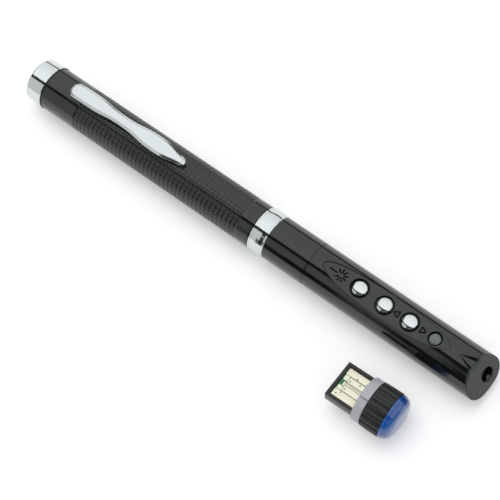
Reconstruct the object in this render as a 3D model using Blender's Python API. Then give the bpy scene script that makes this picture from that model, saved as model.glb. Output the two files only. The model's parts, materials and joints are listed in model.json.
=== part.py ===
# A pen-shaped wireless presenter and the USB receiver that lies beside it.
# Units are metres and +Z is up. The pen lies along X on the table, its tail at -X and its laser at +X,
# with its clip and its buttons facing up. Lengths along the pen are measured from its tail.
import math

import bmesh
import bpy
from mathutils import Euler, Matrix, Vector

MM = 0.001

# Sides of round pieces
OUTER_SIDES = 48
INNER_SIDES = 32
SMALL_SIDES = 20
TINY_SIDES = 12
ARC_STEPS = 5

# Fits and seams
FIXED_FIT = 0.05 * MM
SLIDING_FIT = 0.15 * MM
SEAT_GAP = 0.02 * MM
PART_LINE = 0.15 * MM
EDGE_BREAK = 0.12 * MM
OVERRUN = 2.0 * MM
BITE = 0.1 * MM

# Two AAA cells set the bore of everything behind the keypad
BATTERY_LENGTH = 44.5 * MM
BATTERY_RADIUS = 5.25 * MM
BATTERY_EDGE = 0.4 * MM
BATTERY_NUB_RADIUS = 1.9 * MM
BATTERY_NUB_LENGTH = 1.1 * MM
BATTERY_FIT = 0.15 * MM

# Battery tube: an open tray behind, a closed neck in front
TUBE_WALL = 0.5 * MM
TUBE_END_WALL = 0.8 * MM
TUBE_EDGE = 0.25 * MM
TUBE_PIN_HOLE_RADIUS = 2.4 * MM
TRAY_LIP_HEIGHT = 1.2 * MM
TRAY_END_HEIGHT = 4.9 * MM
NECK_LENGTH = 12.5 * MM
TUBE_BORE = BATTERY_RADIUS + BATTERY_FIT
TUBE_RADIUS = TUBE_BORE + TUBE_WALL

# Rear barrel, tail cap and gasket; the whole rear is turned a little round the pen's axis, as in the photo
REAR_ROLL = math.radians(-6.0)
BARREL_WALL = 0.45 * MM
BARREL_BORE = TUBE_RADIUS + SLIDING_FIT
BARREL_RADIUS = BARREL_BORE + BARREL_WALL
CAP_LENGTH = 5.6 * MM
CAP_PROUD = 0.25 * MM
CAP_TAPER = 0.12 * MM
CAP_EDGE = 0.8 * MM
CAP_END_WALL = 1.2 * MM
CAP_WALL = 0.75 * MM
SPIGOT_LENGTH = 4.0 * MM
GASKET_THICKNESS = 0.35 * MM
GASKET_PROUD = 0.14 * MM
TAIL_ROOM = 0.5 * MM
CAP_RADIUS = BARREL_RADIUS + CAP_PROUD
SPIGOT_RADIUS = BARREL_BORE - FIXED_FIT

# Tail spring and front contact
SPRING_LENGTH = 1.75 * MM
SPRING_WIRE = 0.24 * MM
SPRING_WIDE_RADIUS = 3.9 * MM
SPRING_NARROW_RADIUS = 2.2 * MM
SPRING_TURNS = 2.5
SPRING_POINTS_PER_TURN = 18
CONTACT_THICKNESS = 0.4 * MM
CONTACT_RADIUS = 4.6 * MM
CONTACT_PIN_RADIUS = 0.7 * MM
CONTACT_PIN_REACH = 2.6 * MM

# O-ring on the neck, which holds the rear barrel on by friction
ORING_GROOVE_DEPTH = 0.3 * MM
ORING_CLEARANCE = 0.04 * MM
ORING_SIDE_ROOM = 0.15 * MM
ORING_SETBACK = 4.2 * MM
ORING_PROFILE_SIDES = 8

# Centre ring and the plain sleeve in front of it
RING_LENGTH = 4.95 * MM
RING_PROUD = 0.25 * MM
RING_RIM_WIDTH = 0.5 * MM
RING_RIM_PROUD = 0.1 * MM
RING_GROOVE_WIDTH = 0.14 * MM
RING_GROOVE_DEPTH = 0.06 * MM
RING_CROWN_STEPS = 6
SLEEVE_LENGTH = 13.25 * MM
RING_RADIUS = BARREL_RADIUS + RING_PROUD

# Keypad shell: its length, inner roof, thumb scoop and slanted nose
SHELL_LENGTH = 56.36 * MM
SHELL_OVERLAP = 4.0 * MM
SHELL_END_ROOM = 0.3 * MM
SHELL_WALL = 1.0 * MM
SHELL_NOSE_ROUND = 2.2 * MM
SHELL_NOSE_WALL = 6.2 * MM
SCOOP_SETBACK = 3.4 * MM
SCOOP_LENGTH_SHARE = 0.717
SCOOP_DEPTH = 1.25 * MM
SCOOP_FLOOR = 1.3 * MM
SCOOP_STEPS = 18
SLANT_ANGLE = math.radians(25.0)
SLANT_SETBACK = 4.9 * MM
PLATE_THICKNESS = 0.6 * MM
GROOVE_LENGTH = 4.8 * MM
GROOVE_HALF_WIDTH = 1.6 * MM
GROOVE_DEPTH = 0.7 * MM
CAVITY_RADIUS = BARREL_RADIUS - SHELL_WALL
CAVITY_ROOF = BARREL_RADIUS - SCOOP_DEPTH - SCOOP_FLOOR

# Buttons: a chrome dome on a flanged base, over a plunger and its switch
BUTTON_NAMES = ("laser", "back", "forward")
BUTTON_PITCH_SHARE = 0.1428
WELL_RADIUS = 2.75 * MM
DOME_RADIUS = 2.25 * MM
DOME_RISE = 0.6 * MM
DOME_PROUD = 0.78 * MM
DOME_EDGE = 0.7 * MM
DOME_STEPS = 5
BUTTON_STEM_RADIUS = 2.0 * MM
FLANGE_RADIUS = 3.3 * MM
FLANGE_THICKNESS = 0.45 * MM
FLANGE_CLEARANCE = 0.1 * MM
BUTTON_TRAVEL = 0.3 * MM
PLUNGER_RADIUS = 1.0 * MM
PLUNGER_STANDOFF = 0.4 * MM
PLUNGER_DEPTH = 0.7 * MM
PLUNGER_FIT = 0.1 * MM
SWITCH_SIDE = 4.4 * MM
SWITCH_HEIGHT = 1.6 * MM
SWITCH_CORNER = 0.5 * MM

# Status lamp
LAMP_RADIUS = 1.6 * MM
LAMP_HOLE_RADIUS = 2.05 * MM
LAMP_BELOW = 0.15 * MM
LAMP_RISE = 0.35 * MM
LAMP_FLANGE_RADIUS = 1.9 * MM
LAMP_FLANGE_HEIGHT = 1.0 * MM

# Circuit board, what is on it, and the tray under it
BOARD_THICKNESS = 1.0 * MM
BOARD_HALF_WIDTH = 4.9 * MM
BOARD_BACK_ROOM = 2.4 * MM
BOARD_FRONT_ROOM = 0.85 * MM
LAMP_INSET = 3.1 * MM
BOARD_CORNER = 1.0 * MM
BOARD_NOTCH_RADIUS = 1.3 * MM
TRAY_WALL = 0.8 * MM
TRAY_BACK_ROOM = 0.8 * MM
TRAY_BULKHEAD = 1.0 * MM
TRAY_FIT = 0.15 * MM
CHIP_SIDE = 5.0 * MM
CHIP_HEIGHT = 0.8 * MM
CHIP_SETBACK = 5.7 * MM
CRYSTAL_LENGTH = 3.2 * MM
CRYSTAL_HALF_WIDTH = 1.25 * MM
CRYSTAL_HEIGHT = 0.7 * MM
CRYSTAL_GAP = 1.5 * MM
TRAY_RADIUS = CAVITY_RADIUS - TRAY_FIT

# Laser module: it looks out to one side of the pen's axis
LASER_OFFSET = 1.4 * MM
LASER_LENGTH = 6.7 * MM
LASER_RADIUS = 2.9 * MM
LASER_BORE = 2.25 * MM
LASER_LIP = 0.5 * MM
LASER_LIP_BORE = 1.7 * MM
LASER_FRONT_ROOM = 0.3 * MM
LASER_HOLDER_LENGTH = 4.6 * MM
LASER_HOLDER_SETBACK = 1.2 * MM
LASER_LENS_THICKNESS = 0.9 * MM
LASER_LENS_RISE = 0.35 * MM
DIODE_FLANGE = 0.9 * MM
DIODE_CAN_RADIUS = 1.6 * MM
DIODE_CAN_LENGTH = 2.0 * MM
DIODE_INSET = 0.3 * MM
APERTURE_RADIUS = 2.2 * MM
APERTURE_BOSS_WALL = 0.4 * MM

# Pocket clip: shares of its length come first, shares of its half width or height second
CLIP_SETBACK = 13.9 * MM
CLIP_LENGTH = 40.8 * MM
CLIP_HALF_WIDTH = 2.58 * MM
CLIP_ROOT_ROUND = 2.0 * MM
CLIP_TIP_ROUND = 1.2 * MM
CLIP_TOP_HEIGHT = 2.6 * MM
CLIP_STANDOFF = 1.3 * MM
CLIP_BEVEL = 0.4 * MM
CLIP_STATIONS = 22
CLIP_END_STEPS = 5
CLIP_WIDTH_SHARES = (
    (0.0, 0.92), (0.24, 0.92), (0.30, 0.83), (0.37, 0.69), (0.44, 0.64), (0.54, 0.68), (0.62, 0.84),
    (0.68, 0.96), (0.75, 1.0), (0.81, 0.98), (0.87, 0.83), (0.92, 0.64), (1.0, 0.43),
)
CLIP_TOP_SHARES = (
    (0.0, 0.88), (0.08, 0.94), (0.2, 0.99), (0.35, 1.0), (0.6, 0.95), (0.85, 0.84), (1.0, 0.66),
)
CLIP_UNDER_SHARES = (
    (0.0, 0.36), (0.15, 0.36), (0.24, 0.9), (0.35, 1.0), (0.6, 1.0), (0.85, 0.84), (1.0, 0.62),
)
CLIP_TOE_SHARE = 0.93
CLIP_TOE_RADIUS = 0.9 * MM
CLIP_TOE_GAP = 0.1 * MM
CLIP_TOE_SINK = 0.4 * MM

# Clip pivot: a saddle under the barrel's wall, with two ears that carry the pin
PIVOT_SETBACK = 3.2 * MM
PIVOT_HEIGHT = 0.95 * MM
PIN_RADIUS = 0.4 * MM
PIN_HALF_LENGTH = 1.7 * MM
EAR_INNER = 0.85 * MM
EAR_OUTER = 1.65 * MM
EAR_HALF_LENGTH = 1.2 * MM
EAR_ROUND = 0.6 * MM
EAR_CLEARANCE = 0.12 * MM
EAR_END_ROOM = 0.35 * MM
POCKET_ROOF = 1.75 * MM
SADDLE_HALF_LENGTH = 2.8 * MM
SADDLE_HALF_WIDTH = 2.3 * MM
SADDLE_CLEARANCE = 0.2 * MM

# USB receiver, measured from the tip of its plug
RECEIVER_SETBACK = 123.2 * MM
RECEIVER_SPACING = 22.4 * MM
RECEIVER_YAW = math.radians(1.5)
RECEIVER_ROLL = math.radians(-10.0)
PLUG_LENGTH = 8.55 * MM
PLUG_HALF_HEIGHT = 1.6 * MM
PLUG_RIM = 0.95 * MM
PLUG_CORNER = 0.25 * MM
PLUG_POCKET_DEPTH = 1.6 * MM
PLUG_ROOT = 1.6 * MM
USB_BOARD_THICKNESS = 1.0 * MM
USB_BOARD_FIT = 0.1 * MM
USB_BOARD_SIDE_ROOM = 0.3 * MM
USB_BOARD_TAIL = 0.9 * MM
PAD_THICKNESS = 0.12 * MM
PAD_SETBACK = 1.15 * MM
PAD_STAGGER = 1.6 * MM
PAD_ROOT = 0.6 * MM
PAD_NAMES = ("usb_pad_power", "usb_pad_data_minus", "usb_pad_data_plus", "usb_pad_ground")
PAD_CENTRE_SHARES = (-0.76, -0.3, 0.3, 0.76)
PAD_WIDTH_SHARES = (0.46, 0.36, 0.36, 0.46)
COLLAR_LENGTH = 2.65 * MM
COLLAR_STEP = 0.15 * MM
COLLAR_EDGE = 0.3 * MM
COLLAR_SPIGOT_LENGTH = 1.6 * MM
KEY_SLOT_HALF_WIDTH = 0.25 * MM
KEY_SLOT_DEPTH = 0.5 * MM
KEY_SLOT_OFFSET = 2.6 * MM
GRIP_RADIUS = 6.55 * MM
GRIP_LENGTH = 5.85 * MM
GRIP_WALL = 0.85 * MM
GRIP_EDGE = 0.2 * MM
GRIP_FLUTES = 18
GRIP_FLUTE_DEPTH = 0.35 * MM
GRIP_FLUTE_DEPTH_SHARES = (0.0, 0.0, 0.7, 1.0, 0.7)
LENS_CAP_LENGTH = 3.0 * MM
LENS_CAP_RIM = 0.8 * MM
LENS_CAP_INSET = 0.1 * MM
LENS_CAP_STEP = 0.25 * MM
LENS_CAP_WALL = 1.1 * MM
LENS_CAP_SPIGOT_WALL = 0.8 * MM
LENS_CAP_SPIGOT = 1.6 * MM
LENS_CAP_CURVE_SHARES = ((0.0, 1.0), (0.3, 0.98), (0.56, 0.92), (0.77, 0.83), (0.91, 0.71), (1.0, 0.5))
USB_CHIP_LENGTH = 2.7 * MM
USB_CHIP_HALF_WIDTH = 2.1 * MM
USB_CHIP_HEIGHT = 0.8 * MM
USB_CHIP_GAP = 0.6 * MM
USB_LAMP_LENGTH = 1.6 * MM
USB_LAMP_HALF_WIDTH = 0.6 * MM
USB_LAMP_HEIGHT = 0.7 * MM

# Places along the pen, each worked out from the piece behind it
GASKET_BACK = CAP_LENGTH + SEAT_GAP
BARREL_BACK = GASKET_BACK + GASKET_THICKNESS + SEAT_GAP
SPIGOT_FRONT = BARREL_BACK + SPIGOT_LENGTH
TUBE_BACK = SPIGOT_FRONT + TAIL_ROOM
SPRING_BACK = TUBE_BACK + TUBE_END_WALL + SEAT_GAP
REAR_BATTERY_BACK = SPRING_BACK + SPRING_LENGTH + SEAT_GAP
FRONT_BATTERY_BACK = REAR_BATTERY_BACK + BATTERY_LENGTH + SEAT_GAP
CONTACT_BACK = FRONT_BATTERY_BACK + BATTERY_LENGTH + SEAT_GAP
TUBE_WALL_BACK = CONTACT_BACK + CONTACT_THICKNESS + SEAT_GAP
TUBE_FRONT = TUBE_WALL_BACK + TUBE_END_WALL
SHELL_BACK = TUBE_FRONT - SHELL_OVERLAP
SLEEVE_FRONT = SHELL_BACK - PART_LINE
SLEEVE_BACK = SLEEVE_FRONT - SLEEVE_LENGTH
RING_FRONT = SLEEVE_BACK - SEAT_GAP
RING_BACK = RING_FRONT - RING_LENGTH
BARREL_FRONT = RING_BACK - PART_LINE
TRAY_WINDOW_FRONT = BARREL_FRONT - NECK_LENGTH
SHELL_POCKET_FRONT = TUBE_FRONT + SHELL_END_ROOM
SHELL_FRONT = SHELL_BACK + SHELL_LENGTH
CAVITY_FRONT = SHELL_FRONT - SHELL_NOSE_WALL
SLANT_TOP = SHELL_FRONT - SLANT_SETBACK
SCOOP_LENGTH = SHELL_LENGTH * SCOOP_LENGTH_SHARE
SCOOP_CENTRE = SHELL_BACK + SCOOP_SETBACK + SCOOP_LENGTH / 2
LASER_FRONT = CAVITY_FRONT - LASER_FRONT_ROOM
LASER_BACK = LASER_FRONT - LASER_LENGTH
LASER_HOLDER_FRONT = LASER_FRONT - LASER_HOLDER_SETBACK
LASER_HOLDER_BACK = LASER_HOLDER_FRONT - LASER_HOLDER_LENGTH
TRAY_BACK = TUBE_FRONT + TRAY_BACK_ROOM
TRAY_FRONT = LASER_HOLDER_BACK - SEAT_GAP
BOARD_BACK = TUBE_FRONT + BOARD_BACK_ROOM
BOARD_FRONT = LASER_BACK - BOARD_FRONT_ROOM
LAMP_PLACE = BOARD_FRONT - LAMP_INSET
BUTTON_PITCH = SHELL_LENGTH * BUTTON_PITCH_SHARE
BUTTON_PLACES = tuple(LAMP_PLACE - i * BUTTON_PITCH for i in range(len(BUTTON_NAMES), 0, -1))
CLIP_PIVOT = CLIP_SETBACK + PIVOT_SETBACK

# Heights above the pen's axis, worked down from the scoop
DOME_TOP = BARREL_RADIUS - SCOOP_DEPTH + DOME_PROUD
DOME_BASE = DOME_TOP - DOME_RISE - DOME_EDGE
FLANGE_TOP = CAVITY_ROOF - FLANGE_CLEARANCE
FLANGE_BASE = FLANGE_TOP - FLANGE_THICKNESS
PLUNGER_TOP = FLANGE_BASE - SEAT_GAP
SWITCH_TOP = PLUNGER_TOP - PLUNGER_STANDOFF
SWITCH_BASE = SWITCH_TOP - SWITCH_HEIGHT
BOARD_TOP = SWITCH_BASE - SEAT_GAP
BOARD_BASE = BOARD_TOP - BOARD_THICKNESS
TRAY_RIM = BOARD_BASE - SEAT_GAP

# Places in the receiver, from the tip of its plug and from its axis
COLLAR_BACK = PLUG_LENGTH
GRIP_BACK = COLLAR_BACK + COLLAR_LENGTH + SEAT_GAP
LENS_CAP_BACK = GRIP_BACK + GRIP_LENGTH + SEAT_GAP
GRIP_BORE = GRIP_RADIUS - GRIP_WALL
RECEIVER_SPIGOT = GRIP_BORE - FIXED_FIT
LENS_CAP_BORE = RECEIVER_SPIGOT - LENS_CAP_SPIGOT_WALL
USB_BOARD_HALF_WIDTH = LENS_CAP_BORE - USB_BOARD_SIDE_ROOM
PLUG_HALF_WIDTH = USB_BOARD_HALF_WIDTH + USB_BOARD_FIT + PLUG_RIM
COLLAR_RADIUS = GRIP_RADIUS - COLLAR_STEP
USB_BOARD_BASE = PLUG_HALF_HEIGHT - PLUG_POCKET_DEPTH + SEAT_GAP
USB_BOARD_TOP = USB_BOARD_BASE + USB_BOARD_THICKNESS
USB_BOARD_FRONT = LENS_CAP_BACK + USB_BOARD_TAIL

# Places on the table: the pen's ring and cap rest on it, and so does the receiver's grip
PEN_LENGTH = SHELL_FRONT
RECEIVER_REACH = GRIP_RADIUS * math.cos(RECEIVER_YAW) - GRIP_BACK * math.sin(RECEIVER_YAW)
PEN_SIDE = (RECEIVER_SPACING + RECEIVER_REACH - RING_RADIUS) / 2
PEN = Vector((-PEN_LENGTH / 2, PEN_SIDE, RING_RADIUS))
RECEIVER = Vector((RECEIVER_SETBACK - PEN_LENGTH / 2, PEN_SIDE - RECEIVER_SPACING, GRIP_RADIUS))


# Shapes
def clear_scene():
    for obj in list(bpy.data.objects):
        bpy.data.objects.remove(obj, do_unlink=True)


def finish(name, colour, roughness, metallic=0.0):
    made = bpy.data.materials.new(name)
    made.use_nodes = True
    shader = made.node_tree.nodes["Principled BSDF"]
    shader.inputs["Base Color"].default_value = (*colour, 1.0)
    shader.inputs["Roughness"].default_value = roughness
    shader.inputs["Metallic"].default_value = metallic
    made.diffuse_color = (*colour, 1.0)
    return made


def holder(name, origin, pivot=(0.0, 0.0, 0.0), roll=0.0, yaw=0.0):
    """An empty on a joint's axis, and that point measured from the pen's or the receiver's own origin."""
    empty = bpy.data.objects.new(name, None)
    bpy.context.scene.collection.objects.link(empty)
    turn = Euler((roll, 0.0, yaw))
    empty.location = origin + turn.to_matrix() @ Vector(pivot)
    empty.rotation_euler = turn
    return empty, Vector(pivot)


def place(name, mesh, colour, held_by):
    empty, pivot = held_by
    mesh.transform(Matrix.Translation(-pivot))
    mesh.shade_smooth()
    mesh.set_sharp_from_angle(angle=math.radians(30.0))
    obj = bpy.data.objects.new(name, mesh)
    obj.parent = empty
    bpy.context.scene.collection.objects.link(obj)
    if colour is not None:
        mesh.materials.append(colour)
    return obj


def change(obj, operation, name, mesh, held_by):
    """Cuts, joins or trims obj with a helper shape that isn't part of the model."""
    helper = place(name, mesh, None, held_by)
    helper.hide_render = True
    helper.display_type = "WIRE"
    modifier = obj.modifiers.new(name, "BOOLEAN")
    modifier.operation = operation
    modifier.solver = "EXACT"
    modifier.object = helper


def mesh_from(bm):
    bmesh.ops.recalc_face_normals(bm, faces=bm.faces)
    mesh = bpy.data.meshes.new("shape")
    bm.to_mesh(mesh)
    bm.free()
    return mesh


def turned(outline, sides, axis="X", centre=(0.0, 0.0, 0.0)):
    """A turned solid. The outline holds (place along the axis, radius), and closes on itself or on the axis."""
    bm = bmesh.new()
    spin_axis = Vector((1, 0, 0)) if axis == "X" else Vector((0, 0, 1))
    across = Vector((0, 0, 1)) if axis == "X" else Vector((1, 0, 0))
    points = [bm.verts.new(along * spin_axis + radius * across) for along, radius in outline]
    pairs = list(zip(points, points[1:]))
    if outline[0][1] > 0:
        pairs.append((points[-1], points[0]))
    edges = [bm.edges.new(pair) for pair in pairs]
    bmesh.ops.spin(
        bm, geom=points + edges, cent=(0, 0, 0), axis=spin_axis, angle=math.tau, steps=sides, use_merge=True
    )
    bmesh.ops.remove_doubles(bm, verts=bm.verts, dist=1e-7)
    bmesh.ops.translate(bm, verts=bm.verts, vec=Vector(centre))
    return mesh_from(bm)


def extruded(outline, axis, low, high):
    """A prism: the outline lies across the axis, in the order of the two axes that are left."""
    bm = bmesh.new()
    corner = {
        "X": lambda a, b: (low, a, b),
        "Y": lambda a, b: (a, low, b),
        "Z": lambda a, b: (a, b, low),
    }[axis]
    face = bm.faces.new([bm.verts.new(corner(a, b)) for a, b in outline])
    grown = bmesh.ops.extrude_face_region(bm, geom=[face])
    moved = [item for item in grown["geom"] if isinstance(item, bmesh.types.BMVert)]
    step = Vector([high - low if axis == letter else 0 for letter in "XYZ"])
    bmesh.ops.translate(bm, verts=moved, vec=step)
    return mesh_from(bm)


def block(x_low, x_high, y_low, y_high, z_low, z_high):
    outline = [(x_low, y_low), (x_high, y_low), (x_high, y_high), (x_low, y_high)]
    return extruded(outline, "Z", z_low, z_high)


def lofted(rings, closed=False):
    """Skins rings of points in order. A closed loft joins its last ring to its first, else both ends are filled."""
    bm = bmesh.new()
    rows = [[bm.verts.new(point) for point in ring] for ring in rings]
    pairs = list(zip(rows, rows[1:]))
    if closed:
        pairs.append((rows[-1], rows[0]))
    else:
        bm.faces.new(rows[0])
        bm.faces.new(rows[-1])
    for row, other in pairs:
        for i, point in enumerate(row):
            after = (i + 1) % len(row)
            bm.faces.new((point, row[after], other[after], other[i]))
    return mesh_from(bm)


def arc(centre, radius, start, end, steps):
    """Points on an arc, in degrees from the first axis towards the second."""
    angles = [math.radians(start + (end - start) * i / steps) for i in range(steps + 1)]
    return [(centre[0] + radius * math.cos(a), centre[1] + radius * math.sin(a)) for a in angles]


def dome(base, radius, rise, steps):
    """The outline of a shallow dome, from its edge to its top, as (place along the axis, radius)."""
    sphere = (radius * radius + rise * rise) / (2 * rise)
    half_angle = math.asin(radius / sphere)
    turns = [half_angle * (1 - i / steps) for i in range(steps + 1)]
    points = [(base + rise - sphere * (1 - math.cos(a)), sphere * math.sin(a)) for a in turns[:-1]]
    return points + [(base + rise, 0.0)]


def smooth_share(shares, place_share):
    """Reads a table of shares at one place, on a smooth curve through its rows."""
    last = len(shares) - 1
    row = max(i for i in range(last) if shares[i][0] <= place_share or i == 0)
    here, there = shares[row], shares[row + 1]
    span = there[0] - here[0]
    before, after = shares[max(row - 1, 0)], shares[min(row + 2, last)]
    slope_here = (there[1] - before[1]) / (there[0] - before[0])
    slope_there = (after[1] - here[1]) / (after[0] - here[0])
    t = (place_share - here[0]) / span
    rise = there[1] - here[1]
    bend = t * (1 - t)
    ease = t * t * (3 - 2 * t)
    return here[1] + rise * ease + span * bend * (slope_here * (1 - t) - slope_there * t)


def roofed_outline(radius, roof, steps=20):
    """A circle cut flat at the roof's height, as (y, z) points."""
    edge = math.degrees(math.asin(roof / radius))
    return arc((0, 0), radius, 180 - edge, 360 + edge, steps)


def nose_outline():
    """The outside of the front end, from the cylinder round to the axis."""
    corner = (SHELL_FRONT - SHELL_NOSE_ROUND, BARREL_RADIUS - SHELL_NOSE_ROUND)
    return arc(corner, SHELL_NOSE_ROUND, 90, 0, ARC_STEPS) + [(SHELL_FRONT, 0.0)]


def slant_at(height):
    """Where the slanted end face lies, at this height above the axis."""
    return SLANT_TOP + math.tan(SLANT_ANGLE) * (BARREL_RADIUS - height)


def slanted_slab(back_offset, front_offset):
    """A slab across the nose between two planes that are parallel to the slanted face."""
    reach = BARREL_RADIUS + OVERRUN
    outline = [
        (slant_at(reach) + back_offset, reach),
        (slant_at(-reach) + back_offset, -reach),
        (slant_at(-reach) + front_offset, -reach),
        (slant_at(reach) + front_offset, reach),
    ]
    return extruded(outline, "Y", -reach, reach)


# Rear barrel: cap, gasket, tube and clip
def make_tail_cap(held_by, chrome):
    bore = SPIGOT_RADIUS - CAP_WALL
    end_radius = CAP_RADIUS - CAP_TAPER
    outline = [(0.0, 0.0)]
    outline += arc((CAP_EDGE, end_radius - CAP_EDGE), CAP_EDGE, 180, 90, ARC_STEPS)
    outline += [
        (CAP_LENGTH - EDGE_BREAK, CAP_RADIUS),
        (CAP_LENGTH, CAP_RADIUS - EDGE_BREAK),
        (CAP_LENGTH, SPIGOT_RADIUS),
        (SPIGOT_FRONT, SPIGOT_RADIUS),
        (SPIGOT_FRONT, bore),
        (CAP_END_WALL, bore),
        (CAP_END_WALL, 0.0),
    ]
    place("tail_cap", turned(outline, OUTER_SIDES), chrome, held_by)


def make_tail_gasket(held_by, rubber):
    bore = SPIGOT_RADIUS + FIXED_FIT
    front = GASKET_BACK + GASKET_THICKNESS
    radius = BARREL_RADIUS + GASKET_PROUD
    outline = [(GASKET_BACK, radius), (front, radius), (front, bore), (GASKET_BACK, bore)]
    place("tail_gasket", turned(outline, OUTER_SIDES), rubber, held_by)


def make_upper_barrel(held_by, lacquer):
    outline = [
        (BARREL_BACK, BARREL_RADIUS),
        (BARREL_FRONT - EDGE_BREAK, BARREL_RADIUS),
        (BARREL_FRONT, BARREL_RADIUS - EDGE_BREAK),
        (BARREL_FRONT, BARREL_BORE),
        (BARREL_BACK, BARREL_BORE),
    ]
    barrel = place("upper_barrel", turned(outline, OUTER_SIDES), lacquer, held_by)
    half_length = EAR_HALF_LENGTH + EAR_END_ROOM
    half_width = EAR_OUTER + EAR_CLEARANCE
    slot = block(
        CLIP_PIVOT - half_length, CLIP_PIVOT + half_length, -half_width, half_width, 0, BARREL_RADIUS + OVERRUN
    )
    change(barrel, "DIFFERENCE", "clip_slot", slot, held_by)


def clip_stations():
    """Places along the clip, closer together at its round ends, each with its half width."""
    stations = []
    for i in range(1, CLIP_END_STEPS):
        turn = math.pi / 2 * i / CLIP_END_STEPS
        stations.append((CLIP_ROOT_ROUND * (1 - math.cos(turn)), math.sin(turn)))
    middle = CLIP_LENGTH - CLIP_ROOT_ROUND - CLIP_TIP_ROUND
    for i in range(CLIP_STATIONS + 1):
        stations.append((CLIP_ROOT_ROUND + middle * i / CLIP_STATIONS, 1.0))
    for i in range(CLIP_END_STEPS - 1, 0, -1):
        turn = math.pi / 2 * i / CLIP_END_STEPS
        stations.append((CLIP_LENGTH - CLIP_TIP_ROUND * (1 - math.cos(turn)), math.sin(turn)))
    return stations


def clip_ring(along, taper):
    """One cross-section of the clip: flat underneath, bevelled along both upper edges and round both ends."""
    share = along / CLIP_LENGTH
    half = CLIP_HALF_WIDTH * taper * smooth_share(CLIP_WIDTH_SHARES, share)
    end_bevel = max(0.0, CLIP_BEVEL - min(along, CLIP_LENGTH - along))
    top = BARREL_RADIUS + CLIP_TOP_HEIGHT * smooth_share(CLIP_TOP_SHARES, share) - end_bevel
    under = BARREL_RADIUS + CLIP_STANDOFF * smooth_share(CLIP_UNDER_SHARES, share)
    bevel = min(CLIP_BEVEL, half / 2)
    x = CLIP_SETBACK + along
    section = [
        (-half, under), (half, under), (half, top - bevel), (half - bevel, top),
        (bevel - half, top), (-half, top - bevel),
    ]
    return [(x, y, z) for y, z in section]


def make_clip(held_by, chrome):
    rings = [clip_ring(along, taper) for along, taper in clip_stations()]
    clip = place("clip", lofted(rings), chrome, held_by)
    toe = CLIP_SETBACK + CLIP_TOE_SHARE * CLIP_LENGTH
    toe_base = BARREL_RADIUS + CLIP_TOE_GAP
    toe_top = BARREL_RADIUS + CLIP_STANDOFF * smooth_share(CLIP_UNDER_SHARES, CLIP_TOE_SHARE) + CLIP_TOE_SINK
    rise = CLIP_TOE_RADIUS / 2
    bowl = [(2 * (toe_base + rise) - along, radius) for along, radius in dome(toe_base + rise, CLIP_TOE_RADIUS, rise, 3)]
    toe_outline = [(toe_top, 0.0), (toe_top, CLIP_TOE_RADIUS)] + bowl
    change(clip, "UNION", "clip_toe", turned(toe_outline, TINY_SIDES, "Z", (toe, 0, 0)), held_by)
    half_length = EAR_HALF_LENGTH + EAR_END_ROOM
    inner, outer = EAR_INNER - EAR_CLEARANCE, EAR_OUTER + EAR_CLEARANCE
    roof = BARREL_RADIUS + POCKET_ROOF
    for name, low, high in (("left", inner, outer), ("right", -outer, -inner)):
        pocket = block(CLIP_PIVOT - half_length, CLIP_PIVOT + half_length, low, high, 0, roof)
        change(clip, "DIFFERENCE", f"clip_pocket_{name}", pocket, held_by)
    change(clip, "DIFFERENCE", "clip_pin_hole", pin_rod(PIN_RADIUS + FIXED_FIT, outer), held_by)


def pin_rod(radius, half_length):
    """A rod across the pen at the clip's pivot."""
    circle = arc((CLIP_PIVOT, BARREL_RADIUS + PIVOT_HEIGHT), radius, 0, 360, TINY_SIDES)[:-1]
    return extruded(circle, "Y", -half_length, half_length)


def make_clip_pivot(held_by, steel):
    place("clip_pin", pin_rod(PIN_RADIUS, PIN_HALF_LENGTH), steel, held_by)
    seat = BARREL_BORE - FIXED_FIT
    base = BATTERY_RADIUS + SADDLE_CLEARANCE
    disc = [
        (CLIP_PIVOT - SADDLE_HALF_LENGTH, 0.0), (CLIP_PIVOT - SADDLE_HALF_LENGTH, seat),
        (CLIP_PIVOT + SADDLE_HALF_LENGTH, seat), (CLIP_PIVOT + SADDLE_HALF_LENGTH, 0.0),
    ]
    saddle = place("clip_saddle", turned(disc, OUTER_SIDES), steel, held_by)
    reach = SADDLE_HALF_LENGTH + OVERRUN
    keep = block(
        CLIP_PIVOT - reach, CLIP_PIVOT + reach, -SADDLE_HALF_WIDTH, SADDLE_HALF_WIDTH, base, seat + OVERRUN
    )
    change(saddle, "INTERSECT", "saddle_keep", keep, held_by)
    pivot_z = BARREL_RADIUS + PIVOT_HEIGHT
    foot = (base + seat) / 2
    ear = [(CLIP_PIVOT - EAR_HALF_LENGTH, foot), (CLIP_PIVOT + EAR_HALF_LENGTH, foot)]
    ear += [(CLIP_PIVOT + EAR_HALF_LENGTH, BARREL_RADIUS)]
    ear += arc((CLIP_PIVOT, pivot_z), EAR_ROUND, 0, 180, ARC_STEPS)
    ear += [(CLIP_PIVOT - EAR_HALF_LENGTH, BARREL_RADIUS)]
    for name, low, high in (("left", EAR_INNER, EAR_OUTER), ("right", -EAR_OUTER, -EAR_INNER)):
        change(saddle, "UNION", f"clip_ear_{name}", extruded(ear, "Y", low, high), held_by)
    reach = EAR_OUTER + OVERRUN
    change(saddle, "DIFFERENCE", "ear_pin_hole", pin_rod(PIN_RADIUS + FIXED_FIT, reach), held_by)


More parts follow.
